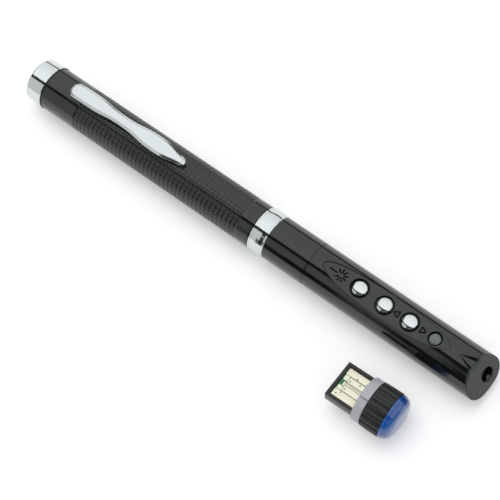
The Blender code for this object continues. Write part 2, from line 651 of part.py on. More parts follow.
# Middle: battery tube, batteries, ring and sleeve
def make_battery_tube(held_by, nylon):
    groove_back = BARREL_FRONT - ORING_SETBACK
    groove_front = groove_back + 2 * oring_wire() + 2 * ORING_SIDE_ROOM
    groove_floor = TUBE_RADIUS - ORING_GROOVE_DEPTH
    inner_back = TUBE_BACK + TUBE_END_WALL
    outline = [
        (TUBE_BACK, 0.0),
        (TUBE_BACK, TUBE_RADIUS - TUBE_EDGE),
        (TUBE_BACK + TUBE_EDGE, TUBE_RADIUS),
        (groove_back, TUBE_RADIUS),
        (groove_back, groove_floor),
        (groove_front, groove_floor),
        (groove_front, TUBE_RADIUS),
        (TUBE_FRONT, TUBE_RADIUS),
        (TUBE_FRONT, TUBE_PIN_HOLE_RADIUS),
        (TUBE_WALL_BACK, TUBE_PIN_HOLE_RADIUS),
        (TUBE_WALL_BACK, TUBE_BORE),
        (inner_back, TUBE_BORE),
        (inner_back, 0.0),
    ]
    tube = place("battery_tube", turned(outline, OUTER_SIDES), nylon, held_by)
    side = TUBE_RADIUS + OVERRUN
    window = block(inner_back - BITE, TRAY_WINDOW_FRONT, -side, side, TRAY_LIP_HEIGHT, side)
    change(tube, "DIFFERENCE", "tray_window", window, held_by)
    end_cut = block(TUBE_BACK - OVERRUN, inner_back + BITE, -side, side, TRAY_END_HEIGHT, side + OVERRUN)
    change(tube, "DIFFERENCE", "tray_end_cut", end_cut, held_by)


def oring_wire():
    """The o-ring's wire radius: it fills the groove up to the rear barrel's bore."""
    return (SLIDING_FIT + ORING_GROOVE_DEPTH) / 2 - ORING_CLEARANCE


def make_oring(held_by, rubber):
    wire = oring_wire()
    middle = BARREL_FRONT - ORING_SETBACK + ORING_SIDE_ROOM + wire
    radius = TUBE_RADIUS - ORING_GROOVE_DEPTH + ORING_CLEARANCE + wire
    circle = arc((middle, radius), wire, 0, 360, ORING_PROFILE_SIDES)[:-1]
    place("neck_oring", turned(circle, INNER_SIDES), rubber, held_by)


def make_batteries(held_by, wrap):
    for name, back in (("battery_rear", REAR_BATTERY_BACK), ("battery_front", FRONT_BATTERY_BACK)):
        shoulder = back + BATTERY_LENGTH - BATTERY_NUB_LENGTH
        outline = [
            (back, 0.0),
            (back, BATTERY_RADIUS - BATTERY_EDGE),
            (back + BATTERY_EDGE, BATTERY_RADIUS),
            (shoulder - BATTERY_EDGE, BATTERY_RADIUS),
            (shoulder, BATTERY_RADIUS - BATTERY_EDGE),
            (shoulder, BATTERY_NUB_RADIUS),
            (back + BATTERY_LENGTH, BATTERY_NUB_RADIUS),
            (back + BATTERY_LENGTH, 0.0),
        ]
        place(name, turned(outline, INNER_SIDES), wrap, held_by)


def make_tail_spring(held_by, steel):
    """A cone of wire, wide on the tube's end wall and narrow on the battery."""
    empty, pivot = held_by
    curve = bpy.data.curves.new("tail_spring", "CURVE")
    curve.dimensions = "3D"
    curve.bevel_depth = SPRING_WIRE
    curve.bevel_resolution = 1
    curve.use_fill_caps = True
    curve.materials.append(steel)
    count = int(SPRING_TURNS * SPRING_POINTS_PER_TURN) + 1
    spline = curve.splines.new("POLY")
    spline.points.add(count - 1)
    run = SPRING_LENGTH - 2 * SPRING_WIRE
    for i, point in enumerate(spline.points):
        share = i / (count - 1)
        turn = math.tau * SPRING_TURNS * share
        radius = SPRING_WIDE_RADIUS + (SPRING_NARROW_RADIUS - SPRING_WIDE_RADIUS) * share
        x = SPRING_BACK + SPRING_WIRE + run * share
        point.co = (x, radius * math.sin(turn), radius * math.cos(turn), 1.0)
    spring = bpy.data.objects.new("tail_spring", curve)
    spring.parent = empty
    bpy.context.scene.collection.objects.link(spring)


def make_front_contact(held_by, brass):
    disc_front = CONTACT_BACK + CONTACT_THICKNESS
    pin_front = TUBE_FRONT + CONTACT_PIN_REACH
    outline = [
        (CONTACT_BACK, 0.0),
        (CONTACT_BACK, CONTACT_RADIUS),
        (disc_front, CONTACT_RADIUS),
        (disc_front, CONTACT_PIN_RADIUS),
        (pin_front, CONTACT_PIN_RADIUS),
        (pin_front, 0.0),
    ]
    place("front_contact", turned(outline, SMALL_SIDES), brass, held_by)


def make_centre_ring(held_by, chrome):
    bore = TUBE_RADIUS + FIXED_FIT
    rim = BARREL_RADIUS + RING_RIM_PROUD
    groove = rim - RING_GROOVE_DEPTH
    crown_back = RING_BACK + RING_RIM_WIDTH + RING_GROOVE_WIDTH
    crown_front = RING_FRONT - RING_RIM_WIDTH - RING_GROOVE_WIDTH
    outline = [(RING_BACK, rim), (RING_BACK + RING_RIM_WIDTH, rim), (RING_BACK + RING_RIM_WIDTH, groove)]
    for i in range(RING_CROWN_STEPS + 1):
        share = i / RING_CROWN_STEPS
        swell = (RING_RADIUS - rim) * (1 - (2 * share - 1) ** 2)
        outline.append((crown_back + (crown_front - crown_back) * share, rim + swell))
    outline += [(RING_FRONT - RING_RIM_WIDTH, groove), (RING_FRONT - RING_RIM_WIDTH, rim)]
    outline += [(RING_FRONT, rim), (RING_FRONT, bore), (RING_BACK, bore)]
    place("centre_ring", turned(outline, OUTER_SIDES), chrome, held_by)


def make_lower_sleeve(held_by, lacquer):
    bore = TUBE_RADIUS + FIXED_FIT
    outline = [
        (SLEEVE_BACK, BARREL_RADIUS),
        (SLEEVE_FRONT - EDGE_BREAK, BARREL_RADIUS),
        (SLEEVE_FRONT, BARREL_RADIUS - EDGE_BREAK),
        (SLEEVE_FRONT, bore),
        (SLEEVE_BACK, bore),
    ]
    place("lower_sleeve", turned(outline, OUTER_SIDES), lacquer, held_by)


# Front: keypad shell and slanted nose
def scoop_outline():
    """The scoop's side view: a long shallow arc below, closed above the barrel."""
    half = SCOOP_LENGTH / 2
    sphere = (half * half + SCOOP_DEPTH * SCOOP_DEPTH) / (2 * SCOOP_DEPTH)
    reach = math.sqrt(sphere**2 - (sphere - SCOOP_DEPTH - OVERRUN) ** 2)
    floor = BARREL_RADIUS - SCOOP_DEPTH
    points = []
    for i in range(SCOOP_STEPS + 1):
        offset = reach * (2 * i / SCOOP_STEPS - 1)
        points.append((SCOOP_CENTRE + offset, floor + sphere - math.sqrt(sphere**2 - offset**2)))
    return points


def groove_rings():
    """The sight groove: half an elliptic cone that widens towards the nose."""
    back = SLANT_TOP - GROOVE_LENGTH
    steps = SMALL_SIDES
    rings = []
    for growth in (BITE / GROOVE_LENGTH, 2.0):
        x = back + GROOVE_LENGTH * growth
        ring = []
        for i in range(steps):
            turn = math.tau * i / steps
            y = GROOVE_HALF_WIDTH * growth * math.cos(turn)
            ring.append((x, y, BARREL_RADIUS + GROOVE_DEPTH * growth * math.sin(turn)))
        rings.append(ring)
    return rings


def make_keypad_shell(held_by, lacquer):
    bore = TUBE_RADIUS + FIXED_FIT
    outline = [(SHELL_POCKET_FRONT, 0.0), (SHELL_POCKET_FRONT, bore), (SHELL_BACK, bore)]
    outline += [(SHELL_BACK, BARREL_RADIUS - EDGE_BREAK), (SHELL_BACK + EDGE_BREAK, BARREL_RADIUS)]
    outline += nose_outline()
    shell = place("keypad_shell", turned(outline, OUTER_SIDES), lacquer, held_by)
    cavity = extruded(roofed_outline(CAVITY_RADIUS, CAVITY_ROOF), "X", SHELL_POCKET_FRONT - BITE, CAVITY_FRONT)
    change(shell, "DIFFERENCE", "shell_cavity", cavity, held_by)
    side = BARREL_RADIUS + OVERRUN
    change(shell, "DIFFERENCE", "thumb_scoop", extruded(scoop_outline(), "Y", -side, side), held_by)
    for name, x in zip(BUTTON_NAMES, BUTTON_PLACES):
        well = [(0.0, 0.0), (0.0, WELL_RADIUS), (side, WELL_RADIUS), (side, 0.0)]
        change(shell, "DIFFERENCE", f"well_{name}", turned(well, SMALL_SIDES, "Z", (x, 0, 0)), held_by)
    hole = [(0.0, 0.0), (0.0, LAMP_HOLE_RADIUS), (side, LAMP_HOLE_RADIUS), (side, 0.0)]
    change(shell, "DIFFERENCE", "lamp_hole", turned(hole, SMALL_SIDES, "Z", (LAMP_PLACE, 0, 0)), held_by)
    change(shell, "DIFFERENCE", "slant_cut", slanted_slab(-PLATE_THICKNESS - SEAT_GAP, side), held_by)
    change(shell, "DIFFERENCE", "sight_groove", lofted(groove_rings()), held_by)
    boss_hole = aperture_rod(APERTURE_RADIUS + APERTURE_BOSS_WALL + SLIDING_FIT, CAVITY_FRONT - OVERRUN)
    change(shell, "DIFFERENCE", "boss_hole", boss_hole, held_by)


def aperture_rod(radius, back, front=None):
    """A rod on the laser's line. Its front is square, or slanted like the face when it isn't given."""
    circle = arc((LASER_OFFSET, 0.0), radius, 0, 360, SMALL_SIDES)[:-1]
    start = [(back, y, z) for y, z in circle]
    if front is not None:
        return lofted([start, [(front, y, z) for y, z in circle]])
    return lofted([start, [(slant_at(z) - PLATE_THICKNESS / 2, y, z) for y, z in circle]])


def make_nose_plate(held_by, matt):
    outline = [(CAVITY_FRONT, 0.0), (CAVITY_FRONT, BARREL_RADIUS)] + nose_outline()
    plate = place("nose_plate", turned(outline, OUTER_SIDES), matt, held_by)
    change(plate, "INTERSECT", "plate_slab", slanted_slab(-PLATE_THICKNESS, 0.0), held_by)
    boss = aperture_rod(APERTURE_RADIUS + APERTURE_BOSS_WALL, CAVITY_FRONT + SEAT_GAP)
    change(plate, "UNION", "aperture_boss", boss, held_by)
    opening = aperture_rod(APERTURE_RADIUS, CAVITY_FRONT - OVERRUN, SHELL_FRONT + OVERRUN)
    change(plate, "DIFFERENCE", "laser_opening", opening, held_by)
    change(plate, "DIFFERENCE", "plate_groove", lofted(groove_rings()), held_by)


# Buttons, lamp and board
def make_button(name, x, held_by, chrome, plastic, pin):
    rim = DOME_BASE + DOME_EDGE
    cap = [(DOME_BASE, 0.0), (DOME_BASE, DOME_RADIUS)] + dome(rim, DOME_RADIUS, DOME_RISE, DOME_STEPS)
    place(f"button_cap_{name}", turned(cap, SMALL_SIDES, "Z", (x, 0, 0)), chrome, held_by)
    stem_top = DOME_BASE - SEAT_GAP
    base = [
        (FLANGE_BASE, 0.0), (FLANGE_BASE, FLANGE_RADIUS), (FLANGE_TOP, FLANGE_RADIUS),
        (FLANGE_TOP, BUTTON_STEM_RADIUS), (stem_top, BUTTON_STEM_RADIUS), (stem_top, 0.0),
    ]
    place(f"button_base_{name}", turned(base, SMALL_SIDES, "Z", (x, 0, 0)), plastic, held_by)
    foot = SWITCH_TOP - PLUNGER_DEPTH
    plunger = [(foot, 0.0), (foot, PLUNGER_RADIUS), (PLUNGER_TOP, PLUNGER_RADIUS), (PLUNGER_TOP, 0.0)]
    place(f"switch_plunger_{name}", turned(plunger, TINY_SIDES, "Z", (x, 0, 0)), pin, held_by)


def make_switch(name, x, held_by, plastic):
    half, corner = SWITCH_SIDE / 2, SWITCH_CORNER
    outline = [
        (x - half + corner, -half), (x + half - corner, -half), (x + half, corner - half),
        (x + half, half - corner), (x + half - corner, half), (x - half + corner, half),
        (x - half, half - corner), (x - half, corner - half),
    ]
    switch = place(f"switch_body_{name}", extruded(outline, "Z", SWITCH_BASE, SWITCH_TOP), plastic, held_by)
    floor = SWITCH_TOP - PLUNGER_DEPTH - BUTTON_TRAVEL - PLUNGER_FIT
    radius = PLUNGER_RADIUS + PLUNGER_FIT
    bore = [(floor, 0.0), (floor, radius), (SWITCH_TOP + OVERRUN, radius), (SWITCH_TOP + OVERRUN, 0.0)]
    change(switch, "DIFFERENCE", f"bore_{name}", turned(bore, TINY_SIDES, "Z", (x, 0, 0)), held_by)


def scoop_height(x):
    """The scoop floor's height above the axis at this place along the pen."""
    half = SCOOP_LENGTH / 2
    sphere = (half * half + SCOOP_DEPTH * SCOOP_DEPTH) / (2 * SCOOP_DEPTH)
    return BARREL_RADIUS - SCOOP_DEPTH + sphere - math.sqrt(sphere**2 - (x - SCOOP_CENTRE) ** 2)


def make_status_lamp(held_by, lens):
    base = BOARD_TOP + SEAT_GAP
    rim = scoop_height(LAMP_PLACE) - LAMP_BELOW - LAMP_RISE
    outline = [
        (base, 0.0), (base, LAMP_FLANGE_RADIUS), (base + LAMP_FLANGE_HEIGHT, LAMP_FLANGE_RADIUS),
        (base + LAMP_FLANGE_HEIGHT, LAMP_RADIUS),
    ]
    outline += dome(rim, LAMP_RADIUS, LAMP_RISE, DOME_STEPS)
    place("status_lamp", turned(outline, SMALL_SIDES, "Z", (LAMP_PLACE, 0, 0)), lens, held_by)


def make_board(held_by, laminate, black, steel):
    corner = BOARD_CORNER
    outline = [(BOARD_BACK, -BOARD_HALF_WIDTH)]
    outline += [(BOARD_FRONT - corner, -BOARD_HALF_WIDTH), (BOARD_FRONT, corner - BOARD_HALF_WIDTH)]
    outline += [(BOARD_FRONT, BOARD_HALF_WIDTH - corner), (BOARD_FRONT - corner, BOARD_HALF_WIDTH)]
    outline += [(BOARD_BACK, BOARD_HALF_WIDTH)]
    outline += arc((BOARD_BACK, 0.0), BOARD_NOTCH_RADIUS, 90, -90, 2 * ARC_STEPS)
    place("main_board", extruded(outline, "Z", BOARD_BASE, BOARD_TOP), laminate, held_by)
    chip_back = BUTTON_PLACES[1] - CHIP_SETBACK
    chip_top = BOARD_BASE - SEAT_GAP
    half = CHIP_SIDE / 2
    chip = block(chip_back, chip_back + CHIP_SIDE, -half, half, chip_top - CHIP_HEIGHT, chip_top)
    place("radio_chip", chip, black, held_by)
    can_back = chip_back + CHIP_SIDE + CRYSTAL_GAP
    can = block(
        can_back, can_back + CRYSTAL_LENGTH, -CRYSTAL_HALF_WIDTH, CRYSTAL_HALF_WIDTH,
        chip_top - CRYSTAL_HEIGHT, chip_top,
    )
    place("crystal", can, steel, held_by)


def make_board_tray(held_by, nylon):
    inner = TRAY_RADIUS - TRAY_WALL
    outer_edge = math.degrees(math.asin(TRAY_RIM / TRAY_RADIUS))
    inner_edge = math.degrees(math.asin(TRAY_RIM / inner))
    outline = arc((0, 0), TRAY_RADIUS, 180 - outer_edge, 360 + outer_edge, SMALL_SIDES)
    outline += arc((0, 0), inner, 360 + inner_edge, 180 - inner_edge, SMALL_SIDES)
    tray = place("board_tray", extruded(outline, "X", TRAY_BACK, TRAY_FRONT), nylon, held_by)
    roof = CAVITY_ROOF - TRAY_FIT
    back = TRAY_BACK + BITE
    wall = extruded(roofed_outline(TRAY_RADIUS - TRAY_WALL / 2, roof), "X", back, back + TRAY_BULKHEAD)
    change(tray, "UNION", "tray_bulkhead", wall, held_by)
    hole = [(TRAY_BACK - OVERRUN, 0.0), (TRAY_BACK - OVERRUN, BOARD_NOTCH_RADIUS)]
    hole += [(BOARD_BACK, BOARD_NOTCH_RADIUS), (BOARD_BACK, 0.0)]
    change(tray, "DIFFERENCE", "tray_pin_hole", turned(hole, TINY_SIDES), held_by)


# Laser
def make_laser(held_by, nylon, brass, steel, glass):
    centre = (0, LASER_OFFSET, 0)
    roof = CAVITY_ROOF - TRAY_FIT
    block_shape = extruded(roofed_outline(TRAY_RADIUS, roof), "X", LASER_HOLDER_BACK, LASER_HOLDER_FRONT)
    carrier = place("laser_holder", block_shape, nylon, held_by)
    seat = LASER_RADIUS + FIXED_FIT
    bore_back, bore_front = LASER_HOLDER_BACK - OVERRUN, LASER_HOLDER_FRONT + OVERRUN
    bore = [(bore_back, 0.0), (bore_back, seat), (bore_front, seat), (bore_front, 0.0)]
    change(carrier, "DIFFERENCE", "laser_seat", turned(bore, SMALL_SIDES, "X", centre), held_by)
    lip_back = LASER_FRONT - LASER_LIP
    housing = [
        (LASER_BACK, LASER_RADIUS), (LASER_FRONT, LASER_RADIUS), (LASER_FRONT, LASER_LIP_BORE),
        (lip_back, LASER_LIP_BORE), (lip_back, LASER_BORE), (LASER_BACK, LASER_BORE),
    ]
    place("laser_housing", turned(housing, SMALL_SIDES, "X", centre), brass, held_by)
    lens_radius = LASER_BORE - FIXED_FIT
    lens_front = lip_back - SEAT_GAP
    lens_back = lens_front - LASER_LENS_THICKNESS
    lens = [(lens_back, 0.0), (lens_back, lens_radius), (lens_front, lens_radius), (lens_front, LASER_LIP_BORE)]
    lens += dome(lens_front, LASER_LIP_BORE - FIXED_FIT, LASER_LENS_RISE, DOME_STEPS)
    place("laser_lens", turned(lens, SMALL_SIDES, "X", centre), glass, held_by)
    flange_back = LASER_BACK + DIODE_INSET
    flange_front = flange_back + DIODE_FLANGE
    can_front = flange_front + DIODE_CAN_LENGTH
    diode = [
        (flange_back, 0.0), (flange_back, LASER_BORE - FIXED_FIT), (flange_front, LASER_BORE - FIXED_FIT),
        (flange_front, DIODE_CAN_RADIUS), (can_front, DIODE_CAN_RADIUS), (can_front, 0.0),
    ]
    place("laser_diode", turned(diode, SMALL_SIDES, "X", centre), steel, held_by)


# Receiver, in its own frame: x from the plug's tip, y and z from its axis
def make_plug(held_by, plastic, laminate, gold):
    root = PLUG_LENGTH + PLUG_ROOT
    outline = [
        (root, -PLUG_HALF_WIDTH), (root, PLUG_HALF_WIDTH), (PLUG_CORNER, PLUG_HALF_WIDTH),
        (0.0, PLUG_HALF_WIDTH - PLUG_CORNER), (0.0, PLUG_CORNER - PLUG_HALF_WIDTH),
        (PLUG_CORNER, -PLUG_HALF_WIDTH),
    ]
    frame = place("usb_frame", extruded(outline, "Z", -PLUG_HALF_HEIGHT, PLUG_HALF_HEIGHT), plastic, held_by)
    half = PLUG_HALF_WIDTH - PLUG_RIM
    floor = PLUG_HALF_HEIGHT - PLUG_POCKET_DEPTH
    pocket = block(PLUG_RIM, root + OVERRUN, -half, half, floor, PLUG_HALF_HEIGHT + OVERRUN)
    change(frame, "DIFFERENCE", "usb_pocket", pocket, held_by)
    board_back = PLUG_RIM + USB_BOARD_FIT
    width = USB_BOARD_HALF_WIDTH
    board = block(board_back, USB_BOARD_FRONT, -width, width, USB_BOARD_BASE, USB_BOARD_TOP)
    place("usb_board", board, laminate, held_by)
    base = USB_BOARD_TOP + SEAT_GAP
    for name, centre, wide in zip(PAD_NAMES, PAD_CENTRE_SHARES, PAD_WIDTH_SHARES):
        back = PAD_SETBACK + (PAD_STAGGER if wide < max(PAD_WIDTH_SHARES) else 0)
        low, high = (centre - wide / 2) * width, (centre + wide / 2) * width
        pad = block(back, PLUG_LENGTH + PAD_ROOT, low, high, base, base + PAD_THICKNESS)
        place(name, pad, gold, held_by)


def make_collar(held_by, grey):
    front = COLLAR_BACK + COLLAR_LENGTH
    spigot_front = front + COLLAR_SPIGOT_LENGTH
    outline = [
        (COLLAR_BACK, 0.0),
        (COLLAR_BACK, COLLAR_RADIUS - COLLAR_EDGE),
        (COLLAR_BACK + COLLAR_EDGE, COLLAR_RADIUS),
        (front, COLLAR_RADIUS),
        (front, RECEIVER_SPIGOT),
        (spigot_front, RECEIVER_SPIGOT),
        (spigot_front, 0.0),
    ]
    collar = place("usb_collar", turned(outline, OUTER_SIDES), grey, held_by)
    wide, high = PLUG_HALF_WIDTH + FIXED_FIT, PLUG_HALF_HEIGHT + FIXED_FIT
    seat = PLUG_LENGTH + PLUG_ROOT + SEAT_GAP
    socket = block(COLLAR_BACK - OVERRUN, seat, -wide, wide, -high, high)
    change(collar, "DIFFERENCE", "plug_seat", socket, held_by)
    half = USB_BOARD_HALF_WIDTH + USB_BOARD_FIT
    board_slot = block(
        COLLAR_BACK, spigot_front + OVERRUN, -half, half,
        USB_BOARD_BASE - USB_BOARD_FIT, USB_BOARD_TOP + USB_BOARD_FIT,
    )
    change(collar, "DIFFERENCE", "board_slot", board_slot, held_by)
    low = -KEY_SLOT_OFFSET - KEY_SLOT_HALF_WIDTH
    key_floor = math.sqrt(COLLAR_RADIUS**2 - KEY_SLOT_OFFSET**2) - KEY_SLOT_DEPTH
    key = block(
        COLLAR_BACK - OVERRUN, front + OVERRUN, low, low + 2 * KEY_SLOT_HALF_WIDTH,
        key_floor, COLLAR_RADIUS + OVERRUN,
    )
    change(collar, "DIFFERENCE", "key_slot", key, held_by)


def grip_ring(x, radius, flute_depth):
    """A ring of points at one place along the grip, with flutes of this depth and a land facing the table."""
    steps = len(GRIP_FLUTE_DEPTH_SHARES)
    count = GRIP_FLUTES * steps
    ring = []
    for i in range(count):
        turn = math.tau * (i - 1 / 2) / count + RECEIVER_ROLL
        reach = radius - flute_depth * GRIP_FLUTE_DEPTH_SHARES[i % steps]
        ring.append((x, reach * math.sin(turn), reach * math.cos(turn)))
    return ring


def make_grip(held_by, rubber):
    front = GRIP_BACK + GRIP_LENGTH
    shoulder = GRIP_RADIUS - GRIP_EDGE
    rings = [
        grip_ring(GRIP_BACK, GRIP_BORE, 0.0),
        grip_ring(GRIP_BACK, shoulder, GRIP_FLUTE_DEPTH),
        grip_ring(GRIP_BACK + GRIP_EDGE, GRIP_RADIUS, GRIP_FLUTE_DEPTH),
        grip_ring(front - GRIP_EDGE, GRIP_RADIUS, GRIP_FLUTE_DEPTH),
        grip_ring(front, shoulder, GRIP_FLUTE_DEPTH),
        grip_ring(front, GRIP_BORE, 0.0),
    ]
    place("usb_grip", lofted(rings, closed=True), rubber, held_by)


def make_lens_cap(held_by, blue):
    radius = GRIP_RADIUS - LENS_CAP_INSET
    spigot_back = LENS_CAP_BACK - LENS_CAP_SPIGOT
    rim_front = LENS_CAP_BACK + LENS_CAP_RIM
    crown_radius = radius - LENS_CAP_STEP
    rise = LENS_CAP_LENGTH - LENS_CAP_RIM
    pocket_front = LENS_CAP_BACK + LENS_CAP_LENGTH - LENS_CAP_WALL
    outline = [
        (pocket_front, 0.0), (pocket_front, LENS_CAP_BORE / 2), (rim_front, LENS_CAP_BORE),
        (spigot_back, LENS_CAP_BORE), (spigot_back, RECEIVER_SPIGOT), (LENS_CAP_BACK, RECEIVER_SPIGOT),
        (LENS_CAP_BACK, radius), (rim_front, radius),
    ]
    outline += [(rim_front + rise * along, crown_radius * out) for along, out in LENS_CAP_CURVE_SHARES]
    outline += [(rim_front + rise, 0.0)]
    place("usb_lens_cap", turned(outline, OUTER_SIDES), blue, held_by)


def make_usb_electronics(held_by, black, white):
    base = USB_BOARD_TOP + SEAT_GAP
    lamp_back = USB_BOARD_FRONT - USB_LAMP_LENGTH
    chip_front = lamp_back - USB_CHIP_GAP
    chip = block(
        chip_front - USB_CHIP_LENGTH, chip_front, -USB_CHIP_HALF_WIDTH, USB_CHIP_HALF_WIDTH,
        base, base + USB_CHIP_HEIGHT,
    )
    place("usb_chip", chip, black, held_by)
    lamp = block(
        lamp_back, USB_BOARD_FRONT, -USB_LAMP_HALF_WIDTH, USB_LAMP_HALF_WIDTH, base, base + USB_LAMP_HEIGHT
    )
    place("usb_lamp", lamp, white, held_by)


def main():
    clear_scene()
    chrome = finish("chrome", (0.78, 0.79, 0.80), 0.08, 1.0)
    lacquer = finish("black_lacquer", (0.012, 0.013, 0.014), 0.18)
    grid_lacquer = finish("black_grid_lacquer", (0.016, 0.017, 0.018), 0.35)
    matt = finish("matt_grey_plastic", (0.05, 0.055, 0.06), 0.6)
    rubber = finish("black_rubber", (0.012, 0.012, 0.012), 0.8)
    nylon = finish("black_nylon", (0.02, 0.02, 0.022), 0.55)
    steel = finish("steel", (0.6, 0.6, 0.6), 0.3, 1.0)
    brass = finish("brass", (0.75, 0.55, 0.25), 0.3, 1.0)
    wrap = finish("battery_wrap", (0.16, 0.18, 0.2), 0.4)
    laminate = finish("green_laminate", (0.02, 0.16, 0.07), 0.5)
    lamp_lens = finish("pale_lamp_lens", (0.45, 0.46, 0.47), 0.4)
    glass = finish("lens_glass", (0.6, 0.2, 0.2), 0.05)
    gold = finish("gold_pads", (0.9, 0.82, 0.6), 0.3, 1.0)
    grey = finish("pale_grey_plastic", (0.45, 0.46, 0.5), 0.5)
    blue = finish("blue_clear_plastic", (0.03, 0.13, 0.5), 0.12)

    front_half = holder("front_half_frame", PEN)
    rear = holder("rear_barrel_frame", PEN, roll=REAR_ROLL)
    pivot = holder("clip_frame", PEN, (CLIP_PIVOT, 0.0, BARREL_RADIUS + PIVOT_HEIGHT), REAR_ROLL)
    receiver = holder("receiver_frame", RECEIVER, roll=RECEIVER_ROLL, yaw=RECEIVER_YAW)

    make_tail_cap(rear, chrome)
    make_tail_gasket(rear, rubber)
    make_upper_barrel(rear, grid_lacquer)
    make_clip_pivot(rear, steel)
    make_clip(pivot, chrome)
    make_battery_tube(front_half, nylon)
    make_oring(front_half, rubber)
    make_batteries(front_half, wrap)
    make_tail_spring(front_half, steel)
    make_front_contact(front_half, brass)
    make_centre_ring(front_half, chrome)
    make_lower_sleeve(front_half, lacquer)
    make_keypad_shell(front_half, lacquer)
    make_nose_plate(front_half, matt)
    for name, x in zip(BUTTON_NAMES, BUTTON_PLACES):
        button = holder(f"{name}_button_frame", PEN, (x, 0.0, FLANGE_BASE))
        make_button(name, x, button, chrome, nylon, steel)
        make_switch(name, x, front_half, nylon)
    make_status_lamp(front_half, lamp_lens)
    make_board(front_half, laminate, nylon, steel)
    make_board_tray(front_half, nylon)
    make_laser(front_half, nylon, brass, steel, glass)
    make_plug(receiver, nylon, laminate, gold)
    make_collar(receiver, grey)
    make_grip(receiver, rubber)
    make_lens_cap(receiver, blue)
    make_usb_electronics(receiver, nylon, lamp_lens)


main()
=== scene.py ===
import json
import math

import bpy
from mathutils import Euler, Matrix, Vector


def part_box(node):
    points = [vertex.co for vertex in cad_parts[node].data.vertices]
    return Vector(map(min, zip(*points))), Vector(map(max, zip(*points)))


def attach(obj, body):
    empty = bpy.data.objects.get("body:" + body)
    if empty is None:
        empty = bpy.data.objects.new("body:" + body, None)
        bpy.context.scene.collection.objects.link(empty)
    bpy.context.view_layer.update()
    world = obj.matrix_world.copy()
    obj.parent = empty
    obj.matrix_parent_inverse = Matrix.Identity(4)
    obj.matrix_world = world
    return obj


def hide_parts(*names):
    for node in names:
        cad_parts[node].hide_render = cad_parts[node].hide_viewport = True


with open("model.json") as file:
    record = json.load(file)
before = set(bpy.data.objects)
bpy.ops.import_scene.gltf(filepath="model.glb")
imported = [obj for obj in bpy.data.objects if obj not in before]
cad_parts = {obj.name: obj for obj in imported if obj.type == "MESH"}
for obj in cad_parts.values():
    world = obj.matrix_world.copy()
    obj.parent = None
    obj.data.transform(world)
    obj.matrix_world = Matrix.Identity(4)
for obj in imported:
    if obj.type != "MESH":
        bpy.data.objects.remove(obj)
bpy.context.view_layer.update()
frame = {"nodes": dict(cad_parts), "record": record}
mm = 0.001
overrun = 2.0  # how far a cutter reaches past its piece, in millimetres

# Where the pen and the receiver lie: x runs along each from its own end, in millimetres and degrees
layout = {"rearTurn": -6.0, "receiver": (45.35, -11.448, 6.55), "receiverRoll": -10.0, "receiverTurn": 1.5}
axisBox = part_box("centre_ring")
penAxis = (axisBox[0] + axisBox[1]) / 2
penPlace = Matrix.Translation((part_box("tail_cap")[0].x, penAxis.y, penAxis.z))
rearPlace = penPlace @ Matrix.Rotation(math.radians(layout["rearTurn"]), 4, "X")
receiverTurn = Euler((math.radians(layout["receiverRoll"]), 0.0, math.radians(layout["receiverTurn"])))
receiverPlace = Matrix.LocRotScale(Vector(layout["receiver"]) * mm, receiverTurn, None)
print("frame loaded, pen tail at", [round(value / mm, 2) for value in penPlace.translation])


# Colours and nodes
def hexColour(code):
    # an sRGB hex colour as linear values
    channels = [int(code[i:i + 2], 16) / 255 for i in (1, 3, 5)]
    return [c / 12.92 if c <= 0.04045 else ((c + 0.055) / 1.055) ** 2.4 for c in channels] + [1.0]


def mainOutput(node):
    # the first output that the node's settings leave open
    return next(output for output in node.outputs if output.enabled)


def addNode(tree, kind, inputs=None, stops=(), **settings):
    # inputs are nodes or sockets to link, or values to set; stops are a ramp's places and colours
    node = tree.nodes.new("ShaderNode" + kind)
    for i, (place, value) in enumerate(stops):
        if i == len(node.color_ramp.elements):
            node.color_ramp.elements.new(1.0)
        node.color_ramp.elements[i].position = place
        node.color_ramp.elements[i].color = value if isinstance(value, list) else (value, value, value, 1.0)
    for name, value in settings.items():
        setattr(node, name, value)
    for name, value in (inputs or {}).items():
        value = mainOutput(value) if isinstance(value, bpy.types.Node) else value
        if isinstance(value, bpy.types.NodeSocket):
            tree.links.new(value, node.inputs[name])
        else:
            node.inputs[name].default_value = value
    return node


def newFinish(name, **values):
    # one material with its shader set; values are the shader's own sockets
    finish = bpy.data.materials.new(name)
    finish.use_nodes = True
    shader = finish.node_tree.nodes["Principled BSDF"]
    for socket, value in values.items():
        shader.inputs[socket.replace("_", " ")].default_value = value
    place = addNode(finish.node_tree, "TexCoord").outputs["Object"]
    return finish, finish.node_tree, shader, place


def feed(shader, **sources):
    # links a finish's nodes to its shader's own sockets
    for socket, source in sources.items():
        shader.id_data.links.new(mainOutput(source), shader.inputs[socket.replace("_", " ")])


def sizes(shape, names):
    # some of a piece's named sizes, in that order
    return [shape[name] for name in names.split()]


# Modelling helpers
def deselectAll():
    if bpy.context.object and bpy.context.object.mode != "OBJECT":
        bpy.ops.object.mode_set(mode="OBJECT")
    bpy.ops.object.select_all(action="DESELECT")


def pick(piece):
    deselectAll()
    piece.select_set(True)
    bpy.context.view_layer.objects.active = piece


def settle():
    # the active object's place goes into its mesh
    bpy.ops.object.transform_apply(location=True, rotation=True, scale=True)
    return bpy.context.object


def editAll():
    bpy.ops.object.mode_set(mode="EDIT")
    bpy.ops.mesh.select_mode(type="VERT")
    bpy.ops.mesh.select_all(action="SELECT")


def tidyMesh(piece):
    pick(piece)
    editAll()
    bpy.ops.mesh.remove_doubles(threshold=0.001 * mm)
    bpy.ops.mesh.normals_make_consistent(inside=False)
    bpy.ops.object.mode_set(mode="OBJECT")


